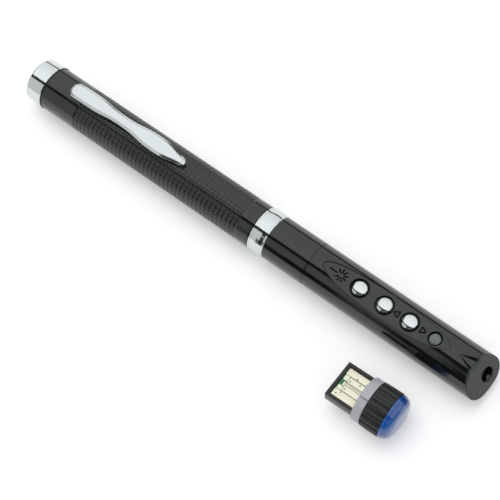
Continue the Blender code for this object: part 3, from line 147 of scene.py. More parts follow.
def selectFaces(piece, wanted):
    # stays in edit mode with only the wanted faces selected
    pick(piece)
    bpy.ops.object.mode_set(mode="EDIT")
    bpy.ops.mesh.select_mode(type="FACE")
    bpy.ops.mesh.select_all(action="DESELECT")
    bpy.ops.object.mode_set(mode="OBJECT")
    found = 0
    for face in piece.data.polygons:
        face.select = bool(wanted(face.center / mm, face.normal))
        found += face.select
    bpy.ops.object.mode_set(mode="EDIT")
    return found


def arcPoints(alongCentre, radiusCentre, radius, start, end, count):
    # an arc in a turned piece's outline, in degrees from the axis direction towards the outside
    angles = [math.radians(start + (end - start) * i / count) for i in range(count + 1)]
    return [(alongCentre + radius * math.cos(a), radiusCentre + radius * math.sin(a)) for a in angles]


def domePoints(base, radius, rise, count, smallest=0.04):
    # an outline from a dome's edge nearly to its pole
    sphere = (radius * radius + rise * rise) / (2 * rise)
    edge = math.asin(radius / sphere)
    turns = [edge * (1 - i / count) for i in range(count)] + [smallest / sphere]
    return [(base + rise - sphere * (1 - math.cos(a)), sphere * math.sin(a)) for a in turns]


def turned(name, outline, sides=144, startCap=False, endCap=False, upright=False):
    # ring by ring along the axis, as (along, radius); an outline that comes back to its start closes itself
    deselectAll()
    along, radius = outline[0]
    turn = (0, 0, 0) if upright else (0, math.pi / 2, 0)
    place = (0, 0, along * mm) if upright else (along * mm, 0, 0)
    bpy.ops.mesh.primitive_circle_add(vertices=sides, radius=radius * mm, location=place, rotation=turn)
    piece = settle()
    piece.name = name
    editAll()
    if startCap:
        bpy.ops.mesh.edge_face_add()
    for nextAlong, nextRadius in outline[1:]:
        step = (nextAlong - along) * mm
        grow = nextRadius / radius
        bpy.ops.mesh.extrude_edges_indiv()
        bpy.ops.transform.translate(value=(0, 0, step) if upright else (step, 0, 0))
        size = (grow, grow, 1) if upright else (1, grow, grow)
        bpy.ops.transform.resize(value=size, center_override=(0, 0, 0))
        along, radius = nextAlong, nextRadius
    if endCap:
        bpy.ops.mesh.edge_face_add()
    bpy.ops.object.mode_set(mode="OBJECT")
    tidyMesh(piece)
    return piece


def copied(piece, name):
    # the same shape again, with a mesh of its own
    twin = piece.copy()
    twin.data = piece.data.copy()
    twin.name = name
    bpy.context.scene.collection.objects.link(twin)
    return twin


def roundEdges(piece, width, count=2, above=35):
    pick(piece)
    bevel = piece.modifiers.new("edges", "BEVEL")
    bevel.width = width * mm
    bevel.segments = count
    bevel.limit_method = "ANGLE"
    bevel.angle_limit = math.radians(above)
    bpy.ops.object.modifier_apply(modifier=bevel.name)


def cutWith(piece, cutter):
    pick(piece)
    cut = piece.modifiers.new("cut", "BOOLEAN")
    cut.operation = "DIFFERENCE"
    cut.solver = "EXACT"
    cut.object = cutter
    bpy.ops.object.modifier_apply(modifier=cut.name)
    bpy.data.objects.remove(cutter)


def block(low, high, name="cutter"):
    # a plain block between two corners in millimetres
    deselectAll()
    middle = [(a + b) / 2 * mm for a, b in zip(low, high)]
    bpy.ops.mesh.primitive_cube_add(size=1, location=middle)
    piece = bpy.context.object
    piece.name = name
    piece.scale = [(b - a) * mm for a, b in zip(low, high)]
    return settle()


def rod(start, end, radius, axis="Z", sides=64):
    # a plain rod between the middles of its two ends, in millimetres
    deselectAll()
    turn = {"X": (0, math.pi / 2, 0), "Y": (math.pi / 2, 0, 0), "Z": (0, 0, 0)}[axis]
    start, end = Vector(start) * mm, Vector(end) * mm
    bpy.ops.mesh.primitive_cylinder_add(
        vertices=sides, radius=radius * mm, depth=(end - start).length, location=(start + end) / 2,
        rotation=turn,
    )
    return settle()


def fit(piece, place, body, slotName, finish, *nodes, smooth=35, flatten=False):
    # puts a finished piece in its place, on its body, with its finish, for the CAD nodes that it stands for
    piece.matrix_world = place
    pick(piece)
    settle()
    if finish not in list(piece.data.materials):
        piece.data.materials.clear()
        piece.data.materials.append(finish)
    bpy.ops.object.shade_smooth_by_angle(angle=math.radians(smooth))
    if flatten:
        # wide faces keep their own direction, so only the rounded edges between them shade smoothly
        level = piece.modifiers.new("flatten", "WEIGHTED_NORMAL")
        level.keep_sharp = True
        bpy.ops.object.modifier_apply(modifier=level.name)
    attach(piece, body)
    if nodes:
        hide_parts(*nodes)
    return piece


# Finishes, each with its patterns' sizes in millimetres
# Nickel-chrome plate, polished: near white, with hazy rub marks and shallow dimples that bend what it mirrors
# (the marks are drawn coarser than real hairlines so that they show)
chromeLook = {
    "colour": "#d4d8d9", "roughness": (0.05, 0.12), "rubLong": 3.97, "rubWide": 0.794, "dimple": 0.9,
    "dimpleDepth": 0.012,
}
chrome, tree, shader, place = newFinish(
    "polishedChromePlate", Metallic=1.0, Base_Color=hexColour(chromeLook["colour"])
)
least, most = chromeLook["roughness"]
rubLong, rubWide = 1 / (chromeLook["rubLong"] * mm), 1 / (chromeLook["rubWide"] * mm)
rub = addNode(tree, "Mapping", {"Vector": place, "Scale": (rubLong, rubWide, rubWide)})
haze = addNode(tree, "TexNoise", {"Vector": rub, "Scale": 1.0, "Detail": 4.0})
rough = addNode(tree, "MapRange", {"Value": haze, "From Min": 0.3, "From Max": 0.75, "To Min": least,
                                   "To Max": most})
feed(shader, Roughness=rough)
dimples = addNode(tree, "TexNoise", {"Vector": place, "Scale": 1 / (chromeLook["dimple"] * mm),
                                     "Detail": 2.0})
bump = addNode(tree, "Bump", {"Height": dimples, "Strength": 1.0, "Distance": chromeLook["dimpleDepth"] * mm})
feed(shader, Normal=bump)

# Black lacquer over a plastic tube, polished: deep black that mirrors the room, with a few specks of dust
lacquerLook = {
    "colour": "#0b0f0f", "ior": 1.62, "dust": "#3a3d40", "dustSpacing": 1.6, "dustSize": 0.056,
    "dustFree": 0.8, "wipe": 3.85, "flow": 2.2, "flowDepth": 0.02, "unpolished": 0.55,
}


def lacquerFinish(name, roughness, peel, embossed=None):
    # roughness has a least and a most; embossed is the radius in the grooves and on the cells, on a grid
    finish, tree, shader, place = newFinish(name, IOR=lacquerLook["ior"])
    specks = addNode(tree, "TexVoronoi", {"Vector": place, "Scale": 1 / (lacquerLook["dustSpacing"] * mm)})
    speckEdge = lacquerLook["dustSize"] / lacquerLook["dustSpacing"]
    speckMask = addNode(tree, "ValToRGB", {"Fac": specks}, [(0.0, 1.0), (speckEdge, 0.0)])
    which = addNode(tree, "SeparateColor", {"Color": specks.outputs["Color"]})
    few = addNode(tree, "Math", {0: which, 1: lacquerLook["dustFree"]}, operation="GREATER_THAN")
    dusty = addNode(tree, "Math", {0: speckMask, 1: few}, operation="MULTIPLY")
    colour = addNode(tree, "Mix", {"Factor": dusty, "A": hexColour(lacquerLook["colour"]),
                                   "B": hexColour(lacquerLook["dust"])}, data_type="RGBA")
    feed(shader, Base_Color=colour)
    wipes = addNode(tree, "TexNoise", {"Vector": place, "Scale": 1 / (lacquerLook["wipe"] * mm),
                                       "Detail": 5.0, "Distortion": 0.6})
    rough = addNode(tree, "MapRange", {"Value": wipes, "From Min": 0.35, "From Max": 0.7,
                                       "To Min": roughness[0], "To Max": roughness[1]})
    feed(shader, Roughness=rough)
    if embossed:
        # the grooves lie deeper, where the polish never reached
        fromAxis = addNode(tree, "VectorMath", {0: place, 1: penPlace.translation}, operation="SUBTRACT")
        across = addNode(tree, "VectorMath", {0: fromAxis, 1: (0, 1, 1)}, operation="MULTIPLY")
        reach = addNode(tree, "VectorMath", {0: across}, operation="LENGTH")
        deep = addNode(tree, "MapRange", {"Value": reach.outputs["Value"], "From Min": embossed[0] * mm,
                                          "From Max": embossed[1] * mm, "To Min": 1.0, "To Max": 0.0})
        dull = addNode(tree, "Mix", {"Factor": deep, "A": rough,
                                     "B": lacquerLook["unpolished"]}, data_type="FLOAT")
        feed(shader, Roughness=dull)
    flow = addNode(tree, "TexNoise", {"Vector": place, "Scale": 1 / (lacquerLook["flow"] * mm),
                                      "Detail": 1.0})
    bump = addNode(tree, "Bump", {"Height": flow, "Strength": peel,
                                  "Distance": lacquerLook["flowDepth"] * mm})
    feed(shader, Normal=bump)
    return finish


lacquer = lacquerFinish("polishedBlackLacquer", roughness=(0.05, 0.11), peel=0.12)
gridLacquer = lacquerFinish(
    "blackLacquerOverEmbossedTube", roughness=(0.1, 0.18), peel=0.1, embossed=(6.40, 6.47)
)

mouldedLook = {"drift": 7.14, "roughSpread": 0.06, "pitStrength": 0.5}


def mouldedFinish(name, code, roughness, grain, depth, spread=0.1, **values):
    # moulded plastic or rubber: a slow drift in tone, and an even grain from the tool, which is drawn coarser
    # than the real few hundredths of a millimetre so that it shows
    finish, tree, shader, place = newFinish(name, **values)
    base = hexColour(code)
    dark = [c * (1 - spread) for c in base[:3]] + [1.0]
    light = [min(1.0, c * (1 + spread)) for c in base[:3]] + [1.0]
    drift = addNode(tree, "TexNoise", {"Vector": place, "Scale": 1 / (mouldedLook["drift"] * mm),
                                       "Detail": 3.0})
    tone = addNode(tree, "ValToRGB", {"Fac": drift}, [(0.3, dark), (0.7, light)])
    feed(shader, Base_Color=tone)
    pits = addNode(tree, "TexNoise", {"Vector": place, "Scale": 1 / (grain * mm), "Detail": 2.0})
    rough = addNode(tree, "MapRange", {"Value": pits, "From Min": 0.3, "From Max": 0.7,
                                       "To Min": roughness - mouldedLook["roughSpread"],
                                       "To Max": roughness + mouldedLook["roughSpread"]})
    feed(shader, Roughness=rough)
    bump = addNode(tree, "Bump", {"Height": pits, "Strength": mouldedLook["pitStrength"],
                                  "Distance": depth * mm})
    feed(shader, Normal=bump)
    return finish


# Spark-textured ABS: a soft grey sheen, no mirror
mattPlastic = mouldedFinish("fineSparkTexturedAbs", "#2b2f33", roughness=0.46, grain=0.16, depth=0.012)
# Moulded rubber: dull, slightly dusty black
blackRubber = mouldedFinish("mouldedBlackRubber", "#191b1b", roughness=0.48, grain=0.3, depth=0.02)
# Moulded nylon: the dry black of inner parts
blackNylon = mouldedFinish("mouldedBlackNylon", "#1d1e20", roughness=0.5, grain=0.35, depth=0.015)
# Satin ABS: pale and a little cool
collarPlastic = mouldedFinish("satinGreyAbs", "#b1b3b8", roughness=0.42, grain=0.2, depth=0.008, spread=0.04)
# Moulded polycarbonate: a smooth, warm black
plugPlastic = mouldedFinish("glossBlackPolycarbonate", "#1a1614", roughness=0.22, grain=0.8, depth=0.006)
# Frosted light guide: a pale disc that spreads the light from below it
lampPlastic = mouldedFinish(
    "frostedLightGuide", "#6c7172", roughness=0.34, grain=0.5, depth=0.004, spread=0.12
)
# Painted shade: near black that takes no light, for the engraved signs and the sight groove's walls
signAndGrooveShade = mouldedFinish(
    "mattBlackSignPaint", "#060607", roughness=0.7, grain=0.12, depth=0.01, Specular_IOR_Level=0.15
)

# Blue tinted clear polycarbonate, moulded and polished: deep blue at its rim, with a painted pale haze of
# light towards its crown
blueLook = {"deep": "#0d4299", "bright": "#2467bd", "milky": "#6f93cb", "cloud": 4.55, "milkyFrom": 18.25,
            "milkyTo": 19.95}
bluePlastic, tree, shader, place = newFinish(
    "tintedBluePolycarbonate", IOR=1.58, Roughness=0.14, Coat_Weight=0.4, Coat_Roughness=0.05,
    Transmission_Weight=0.25,
)
cloud = addNode(tree, "TexNoise", {"Vector": place, "Scale": 1 / (blueLook["cloud"] * mm), "Detail": 2.0})
tint = addNode(tree, "ValToRGB", {"Fac": cloud},
               [(0.3, hexColour(blueLook["deep"])), (0.72, hexColour(blueLook["bright"]))])
along = addNode(tree, "SeparateXYZ", {0: place})
# painted light: the cap's colour turns paler towards the crown's end, as if light fell on it there
paintedHazeShare = addNode(tree, "MapRange", {
    "Value": along.outputs["X"], "From Min": (layout["receiver"][0] + blueLook["milkyFrom"]) * mm,
    "From Max": (layout["receiver"][0] + blueLook["milkyTo"]) * mm,
})
haze = addNode(tree, "ValToRGB", {"Fac": paintedHazeShare}, [(0.0, 0.0), (0.5, 0.22), (1.0, 0.45)])
milky = addNode(tree, "Mix", {"Factor": haze, "A": tint,
                              "B": hexColour(blueLook["milky"])}, data_type="RGBA")
feed(shader, Base_Color=milky)

metalLook = {"darkest": 0.82, "roughSpread": 0.3}


def metalFinish(name, code, roughness, along, across):
    # turned, drawn or rolled metal with its own colour; its tool marks are drawn coarser, so that they show
    finish, tree, shader, place = newFinish(name, Metallic=1.0)
    alongScale, acrossScale = 1 / (along * mm), 1 / (across * mm)
    marks = addNode(tree, "Mapping", {"Vector": place, "Scale": (alongScale, acrossScale, acrossScale)})
    noise = addNode(tree, "TexNoise", {"Vector": marks, "Scale": 1.0, "Detail": 5.0})
    base = hexColour(code)
    dark = [c * metalLook["darkest"] for c in base[:3]] + [1.0]
    tone = addNode(tree, "ValToRGB", {"Fac": noise}, [(0.3, dark), (0.65, base)])
    feed(shader, Base_Color=tone)
    rough = addNode(tree, "MapRange", {"Value": noise, "From Min": 0.3, "From Max": 0.7,
                                       "To Min": roughness * (1 - metalLook["roughSpread"]),
                                       "To Max": roughness * (1 + metalLook["roughSpread"])})
    feed(shader, Roughness=rough)
    return finish


# Drawn steel: plain and bright
brightSteel = metalFinish("drawnSteel", "#b9bcbe", roughness=0.26, along=0.417, across=0.417)
# Turned brass: warm yellow, with fine rings
turnedBrass = metalFinish("turnedBrass", "#c8a35a", roughness=0.28, along=0.167, across=0.833)
# Gold flash over copper: very pale yellow, a little streaky along the contacts
goldPlate = metalFinish("goldFlashedCopper", "#f5efdc", roughness=0.42, along=1.0, across=0.139)
# Printed foil: dull metallic grey
batterySleeve = metalFinish("printedFoilSleeve", "#6b6f74", roughness=0.34, along=1.25, across=0.5)

# Fibre-glass laminate under green solder mask, with paler copper runs below it
laminateLook = {"mask": ("#0f5a35", "#14683e"), "run": "#2b8a58", "runLength": 3.09, "runPitch": 0.666,
                "runWidth": 0.083, "weave": 0.417, "weaveDepth": 0.01}
laminate, tree, shader, place = newFinish("greenSolderMask", IOR=1.52, Roughness=0.35, Coat_Weight=0.3)
runs = addNode(tree, "TexBrick", {
    "Vector": place, "Scale": 1 / mm, "Mortar Size": laminateLook["runWidth"],
    "Brick Width": laminateLook["runLength"], "Row Height": laminateLook["runPitch"],
    "Color1": hexColour(laminateLook["mask"][0]), "Color2": hexColour(laminateLook["mask"][1]),
    "Mortar": hexColour(laminateLook["run"]),
})
feed(shader, Base_Color=runs)
weave = addNode(tree, "TexNoise", {"Vector": place, "Scale": 1 / (laminateLook["weave"] * mm), "Detail": 1.0})
bump = addNode(tree, "Bump", {"Height": weave, "Strength": 0.3,
                              "Distance": laminateLook["weaveDepth"] * mm})
feed(shader, Normal=bump)

# Moulded acrylic lens, tinted red: clear, with the odd wipe mark
lensLook = {"colour": "#b4474c", "wipe": 1.11, "roughness": (0.03, 0.12)}
lensGlass, tree, shader, place = newFinish(
    "tintedAcrylicLens", IOR=1.49, Base_Color=hexColour(lensLook["colour"]), Transmission_Weight=0.7
)
wipe = addNode(tree, "TexNoise", {"Vector": place, "Scale": 1 / (lensLook["wipe"] * mm)})
rough = addNode(tree, "MapRange", {"Value": wipe, "To Min": lensLook["roughness"][0],
                                   "To Max": lensLook["roughness"][1]})
feed(shader, Roughness=rough)
print("finishes made")


# Tail cap: a polished end with a round edge, and a thin spigot that reaches into the barrel
capShape = {
    "length": 5.6, "radius": 6.75, "taper": 0.12, "edge": 0.8, "lip": 0.1, "spigot": 6.0, "front": 9.99,
    "bore": 5.25, "floor": 1.2, "centre": 0.5,
}
length, radius, taper, edge, lip, spigot, front, bore, floor, centre = sizes(
    capShape, "length radius taper edge lip spigot front bore floor centre"
)
endRadius = radius - taper
outline = [(0.0, centre), (0.0, endRadius - 1.5 * edge)]
outline += arcPoints(edge, endRadius - edge, edge, start=180, end=90, count=10)
outline += [(length - lip, radius), (length, radius - lip), (length, spigot), (front, spigot), (front, bore),
            (floor, bore), (floor, centre)]
tailCap = turned("tailCap", outline, startCap=True, endCap=True)
fit(tailCap, rearPlace, "rear_barrel", "chrome", chrome, "tail_cap")

# Gasket between cap and barrel, a soft round-edged ring
gasketShape = {"back": 5.62, "front": 5.97, "radius": 6.64, "bore": 6.05, "edgeLong": 0.06, "edgeDeep": 0.12}
back, front, radius, bore = sizes(gasketShape, "back front radius bore")
edgeLong, edgeDeep = sizes(gasketShape, "edgeLong edgeDeep")
outline = [(back, bore), (back, radius - edgeDeep), (back + edgeLong, radius), (front - edgeLong, radius),
           (front, radius - edgeDeep), (front, bore), (back, bore)]
gasket = turned("tailGasket", outline)
fit(gasket, rearPlace, "rear_barrel", "black_rubber", blackRubber, "tail_gasket")
print("tail end made")

# Upper barrel: smooth by the cap, then rows of small raised cells between fine grooves
barrelShape = {
    "back": 5.99, "front": 80.82, "radius": 6.5, "bore": 6.05, "columns": 36, "rows": 40, "gridBack": 18.2,
    "pitch": 1.45, "groove": 0.11, "insets": ((0.07, 0.0), (0.09, 0.09), (0.08, 0.02)), "backLoop": 0.15,
    "gridLoops": (0.5, 0.1), "endLoop": 0.3, "edgeLong": 0.1, "edgeDeep": 0.12,
}
# The clip's saddle sits in a slot through the barrel, and its two cheeks and their pin reach into the clip
saddleShape = {"back": 15.55, "front": 18.65, "half": 1.77, "web": 0.73, "top": 8.25, "pinAlong": 17.1,
               "pinHeight": 7.45, "pinRadius": 0.45}
roundUp = 1.0013  # so that its flat sides lie half outside and half inside the round
outer = barrelShape["radius"] * roundUp
bore = barrelShape["bore"] * roundUp
grid = outer - barrelShape["groove"]
back, front, endLoop, gridBack = sizes(barrelShape, "back front endLoop gridBack")
far, near = barrelShape["gridLoops"]
gridFront = gridBack + barrelShape["rows"] * barrelShape["pitch"]
outline = [(back, bore), (back, outer), (back + barrelShape["backLoop"], outer),
           (gridBack - far, outer), (gridBack - near, outer)]
outline += [(gridBack + i * barrelShape["pitch"], grid) for i in range(barrelShape["rows"] + 1)]
outline += [(gridFront + near, outer), (gridFront + far, outer), (front - endLoop, outer),
            (front - barrelShape["edgeLong"], outer), (front, outer - barrelShape["edgeDeep"]),
            (front, bore), (front - endLoop, bore), (back + endLoop, bore), (back, bore)]
upperBarrel = turned("upperBarrel", outline, sides=barrelShape["columns"])


def isCell(centre, normal):
    inGroove = math.hypot(centre.y, centre.z) > grid - barrelShape["groove"] / 2
    return gridBack < centre.x < gridFront and inGroove and abs(normal.x) < 0.1


cells = selectFaces(upperBarrel, isCell)
for edge, rise in barrelShape["insets"]:
    bpy.ops.mesh.inset(thickness=edge * mm, depth=rise * mm, use_individual=True)
bpy.ops.object.mode_set(mode="OBJECT")
cutWith(upperBarrel, block(
    (saddleShape["back"], -saddleShape["half"], bore - overrun),
    (saddleShape["front"], saddleShape["half"], outer + overrun),
))
fit(upperBarrel, rearPlace, "rear_barrel", "black_grid_lacquer", gridLacquer, "upper_barrel", smooth=60)
print("upper barrel made,", cells, "cells")

# Pocket clip: its plan is drawn as a strip, raised, bevelled all round, and set to its heights
clipShape = {
    "back": 13.9, "length": 40.8, "halfWidth": 2.58, "rootRound": 2.0, "tipRound": 1.2, "topHeight": 2.6,
    "standoff": 1.3, "bevelWide": 0.55, "bevelDeep": 0.36, "line": 0.07, "lineDeep": 0.09, "stations": 44,
    "endSteps": 9,
}
clipWidthShares = (
    (0.0, 0.92), (0.24, 0.92), (0.30, 0.83), (0.37, 0.69), (0.44, 0.64), (0.54, 0.68), (0.62, 0.84),
    (0.68, 0.96), (0.75, 1.0), (0.81, 0.98), (0.87, 0.83), (0.92, 0.64), (1.0, 0.43),
)
clipTopShares = ((0.0, 0.88), (0.08, 0.94), (0.2, 0.99), (0.35, 1.0), (0.6, 0.95), (0.85, 0.84), (1.0, 0.66))
clipUnderShares = ((0.0, 0.36), (0.15, 0.36), (0.24, 0.9), (0.35, 1.0), (0.6, 1.0), (0.85, 0.84), (1.0, 0.62))


def smoothShare(shares, t):
    # a smooth curve through a table of shares
    last = len(shares) - 1
    row = max(i for i in range(last) if shares[i][0] <= t or i == 0)
    here, there = shares[row], shares[row + 1]
    before, after = shares[max(row - 1, 0)], shares[min(row + 2, last)]
    span = there[0] - here[0]
    slopeHere = (there[1] - before[1]) / (there[0] - before[0])
    slopeThere = (after[1] - here[1]) / (after[0] - here[0])
    u = (t - here[0]) / span
    return (here[1] + (there[1] - here[1]) * u * u * (3 - 2 * u)
            + span * u * (1 - u) * (slopeHere * (1 - u) - slopeThere * u))


length, count = clipShape["length"], clipShape["endSteps"]
rootRound, tipRound = clipShape["rootRound"], clipShape["tipRound"]
quarter = [math.pi / 2 * i / count for i in range(1, count)]
stations = [(rootRound * (1 - math.cos(turn)), math.sin(turn)) for turn in quarter]
middle = length - rootRound - tipRound
for i in range(clipShape["stations"] + 1):
    stations.append((rootRound + middle * i / clipShape["stations"], 1.0))
stations += [(length - tipRound * (1 - math.cos(turn)), math.sin(turn)) for turn in reversed(quarter)]
widths = []
for along, taper in stations:
    widths.append(clipShape["halfWidth"] * taper * smoothShare(clipWidthShares, along / length))

deselectAll()
bpy.ops.mesh.primitive_plane_add(size=2 * mm, location=(stations[0][0] * mm, 0, 0))
clip = settle()
clip.name = "pocketClip"
editAll()
bpy.ops.transform.resize(value=(0, widths[0], 1), center_override=(stations[0][0] * mm, 0, 0))
bpy.ops.mesh.remove_doubles(threshold=0.0001 * mm)
for i in range(1, len(stations)):
    bpy.ops.mesh.extrude_edges_indiv()
    bpy.ops.transform.translate(value=((stations[i][0] - stations[i - 1][0]) * mm, 0, 0))
    bpy.ops.transform.resize(value=(1, widths[i] / widths[i - 1], 1), center_override=(0, 0, 0))
bpy.ops.mesh.select_all(action="SELECT")
bpy.ops.mesh.normals_make_consistent(inside=False)
# each layer stands a millimetre over the last, which tells them apart when their heights are set
bpy.ops.mesh.extrude_region_move(TRANSFORM_OT_translate={"value": (0, 0, 1 * mm)})
for edge in (clipShape["bevelWide"], clipShape["line"], clipShape["line"]):
    bpy.ops.mesh.inset(thickness=edge * mm, depth=0)
    bpy.ops.transform.translate(value=(0, 0, 1 * mm))
bpy.ops.mesh.select_all(action="SELECT")
bpy.ops.mesh.normals_make_consistent(inside=False)
bpy.ops.object.mode_set(mode="OBJECT")
for vertex in clip.data.vertices:
    along = min(max(vertex.co.x / mm, 0.0), length)
    top = barrelShape["radius"] + clipShape["topHeight"] * smoothShare(clipTopShares, along / length)
    under = barrelShape["radius"] + clipShape["standoff"] * smoothShare(clipUnderShares, along / length)
    heights = (under, top - clipShape["bevelDeep"], top, top - clipShape["lineDeep"], top)
    vertex.co.z = heights[round(vertex.co.z / mm)] * mm
    vertex.co.x += clipShape["back"] * mm
roundEdges(clip, width=0.05, count=2, above=50)
for low, high in ((saddleShape["web"], saddleShape["half"]), (-saddleShape["half"], -saddleShape["web"])):
    cutWith(clip, block((saddleShape["back"], low, barrelShape["radius"] - overrun),
                        (saddleShape["front"], high, saddleShape["top"])))
# the pin's hole goes through the web and ends within the two slots
cheek = (saddleShape["web"] + saddleShape["half"]) / 2
pinAlong, pinHeight, pinRadius = sizes(saddleShape, "pinAlong pinHeight pinRadius")
cutWith(clip, rod((pinAlong, -cheek, pinHeight), (pinAlong, cheek, pinHeight), pinRadius, "Y", sides=24))
fit(clip, rearPlace, "clip", "chrome", chrome, "clip", smooth=30, flatten=True)

# The toe under the clip's tip, which rests just clear of the barrel
toeShape = {"along": 51.844, "radius": 0.9, "base": 6.6, "top": 7.75, "centre": 0.5}
rise = toeShape["radius"] / 2
middle = toeShape["base"] + rise
outline = [(toeShape["top"], toeShape["centre"]), (toeShape["top"], toeShape["radius"])]
dome = domePoints(middle, toeShape["radius"], rise, count=6)
outline += [(2 * middle - height, ring) for height, ring in dome]
toe = turned("clipToe", outline, sides=32, startCap=True, endCap=True, upright=True)
fit(toe, rearPlace @ Matrix.Translation((toeShape["along"] * mm, 0, 0)), "clip", "chrome", chrome)
print("clip made")

# Centre ring: two thin rims with a fine groove inside each, and a low crown between them
ringShape = {
    "back": 80.97, "front": 85.92, "bore": 5.95, "rim": 6.6, "rimWidth": 0.5, "edge": 0.08, "groove": 0.14,
    "grooveWall": 0.03, "crown": 6.75, "crownSteps": 12,
}
back, front, bore, rim, rimWidth = sizes(ringShape, "back front bore rim rimWidth")
edge, groove, wall, crown, steps = sizes(ringShape, "edge groove grooveWall crown crownSteps")
inside = rimWidth + groove
low = rim - edge
outline = [(back, bore), (back, low), (back + edge, rim), (back + rimWidth, rim),
           (back + rimWidth + wall, low), (back + inside - wall, low)]
for i in range(steps + 1):
    share = i / steps
    swell = (crown - rim) * (1 - (2 * share - 1) ** 2)
    outline.append((back + inside + (front - back - 2 * inside) * share, rim + swell))
outline += [(front - inside + wall, low), (front - rimWidth - wall, low), (front - rimWidth, rim),
            (front - edge, rim), (front, low), (front, bore), (back, bore)]
centreRing = turned("centreRing", outline)
fit(centreRing, penPlace, "front_half", "chrome", chrome, "centre_ring")

# Lower sleeve: plain polished tube, its front edge broken where the seam shows, all but touching the shell
sleeveShape = {"back": 85.94, "front": 99.26, "radius": 6.5, "bore": 5.95, "backLoop": 0.2, "frontLoop": 0.3,
               "edge": 0.04, "edgeMiddle": (0.01, 0.015)}
back, front, radius, bore = sizes(sleeveShape, "back front radius bore")
backLoop, frontLoop, edge, edgeMiddle = sizes(sleeveShape, "backLoop frontLoop edge edgeMiddle")
outline = [(back, bore), (back, radius), (back + backLoop, radius), (front - frontLoop, radius),
           (front - edge, radius), (front - edgeMiddle[0], radius - edgeMiddle[1]), (front, radius - edge),
           (front, bore), (back, bore)]
sleeve = turned("lowerSleeve", outline)
fit(sleeve, penPlace, "front_half", "black_lacquer", lacquer, "lower_sleeve")
print("ring and sleeve made")

# Keypad shell: thumb scoop with a soft inner lip, button wells, slanted end, sight groove and engraved signs
shellShape = {
    "back": 99.34, "front": 155.7, "radius": 6.5, "backEdge": 0.03, "backLoop": 0.04, "backCentre": 1.0,
    "noseRound": 2.2, "noseLoops": (0.5, 0.3), "noseCentre": 0.4, "pocketFront": 103.64, "pocketBore": 5.95,
    "cavityFront": 149.6, "cavityRadius": 5.5, "roof": 3.95,
    "scoopCentre": 122.945, "scoopLength": 40.41, "scoopDepth": 1.25,
    "lipWidth": 0.2, "lipDepth": 0.2, "slantTop": 150.8, "slant": 25.0, "plate": 0.62,
    "buttons": (114.405, 122.454, 130.502), "well": 2.75, "lamp": 138.55, "lampHole": 2.05,
    "grooveBack": 146.0, "grooveLength": 4.8, "grooveHalf": 2.15, "grooveDepth": 0.9, "grooveTip": 0.02,
    "laserAside": 1.4, "laserBore": 2.75,
}
shellBack, shellFront, shellRadius, roof = sizes(shellShape, "back front radius roof")
scoopCentre, scoopDepth, lipDepth = sizes(shellShape, "scoopCentre scoopDepth lipDepth")
cavityFront, laserAside = sizes(shellShape, "cavityFront laserAside")
halfScoop = shellShape["scoopLength"] / 2
scoopRadius = (halfScoop ** 2 + scoopDepth ** 2) / (2 * scoopDepth)
scoopFloor = shellRadius - scoopDepth


def scoopHeight(along):
    return scoopFloor + scoopRadius - math.sqrt(scoopRadius ** 2 - (along - scoopCentre) ** 2)


def noseOutline(back):
    noseRound = shellShape["noseRound"]
    noseBack = shellFront - noseRound
    behind, before = shellShape["noseLoops"]
    outline = [(back, shellRadius), (back + behind, shellRadius), (noseBack - before, shellRadius)]
    outline += arcPoints(noseBack, shellRadius - noseRound, noseRound, start=90, end=4, count=14)
    return outline + [(shellFront, shellShape["noseCentre"])]


def slantCut(piece, offset, keepFront):
    # cuts along a plane parallel to the slanted end face and closes the cut
    pick(piece)
    editAll()
    slope = math.radians(shellShape["slant"])
    point = ((shellShape["slantTop"] + offset) * mm, 0, shellRadius * mm)
    bpy.ops.mesh.bisect(
        plane_co=point, plane_no=(math.cos(slope), 0, math.sin(slope)), use_fill=True, threshold=0.001 * mm,
        clear_inner=keepFront, clear_outer=not keepFront,
    )
    bpy.ops.object.mode_set(mode="OBJECT")


def sightGroove():
    # an elliptic cone with its point behind, which widens on to past the nose
    deselectAll()
    growth = 2.0
    reach = shellShape["grooveLength"] * growth
    middle = shellShape["grooveBack"] + reach / 2
    bpy.ops.mesh.primitive_cone_add(
        vertices=64, radius1=growth * mm, radius2=shellShape["grooveTip"] * mm, depth=reach * mm,
        location=(middle * mm, 0, shellRadius * mm), rotation=(0, -math.pi / 2, 0),
    )
    groove = settle()
    editAll()
    size = (1, shellShape["grooveHalf"], shellShape["grooveDepth"])
    bpy.ops.transform.resize(value=size, center_override=(0, 0, shellRadius * mm))
    bpy.ops.object.mode_set(mode="OBJECT")
    return groove


def isScoopFloor(centre, normal):
    onFloor = abs(centre.z - scoopHeight(centre.x)) < 0.01
    return normal.z > 0.98 and onFloor and abs(centre.x - scoopCentre) < halfScoop


def drill(along, radius, sides):
    # a cutter from above the shell down into its cavity
    return rod((along, 0, roof - overrun), (along, 0, shellRadius + overrun), radius, sides=sides)


def borer(back, front, radius, sides, aside=0.0):
    # a cutter along the pen
    return rod((back, aside, 0), (front, aside, 0), radius, "X", sides)


outline = [(shellBack, shellShape["backCentre"]), (shellBack, shellRadius - shellShape["backEdge"])]
outline += noseOutline(shellBack + shellShape["backLoop"])
keypad = turned("keypadShell", outline, sides=192, startCap=True, endCap=True)
scoopAxis = scoopFloor + scoopRadius
cutWith(keypad, rod((scoopCentre, -shellRadius - overrun, scoopAxis),
                    (scoopCentre, shellRadius + overrun, scoopAxis), scoopRadius, "Y", sides=900))
found = selectFaces(keypad, isScoopFloor)
bpy.ops.mesh.inset(thickness=shellShape["lipWidth"] * mm, depth=-lipDepth * mm)
bpy.ops.object.mode_set(mode="OBJECT")
print("scoop floor faces", found)
for along in shellShape["buttons"]:
    cutWith(keypad, drill(along, shellShape["well"], sides=96))
cutWith(keypad, drill(shellShape["lamp"], shellShape["lampHole"], sides=72))
cavity = borer(shellBack - overrun, cavityFront, shellShape["cavityRadius"], sides=96)
pick(cavity)
editAll()
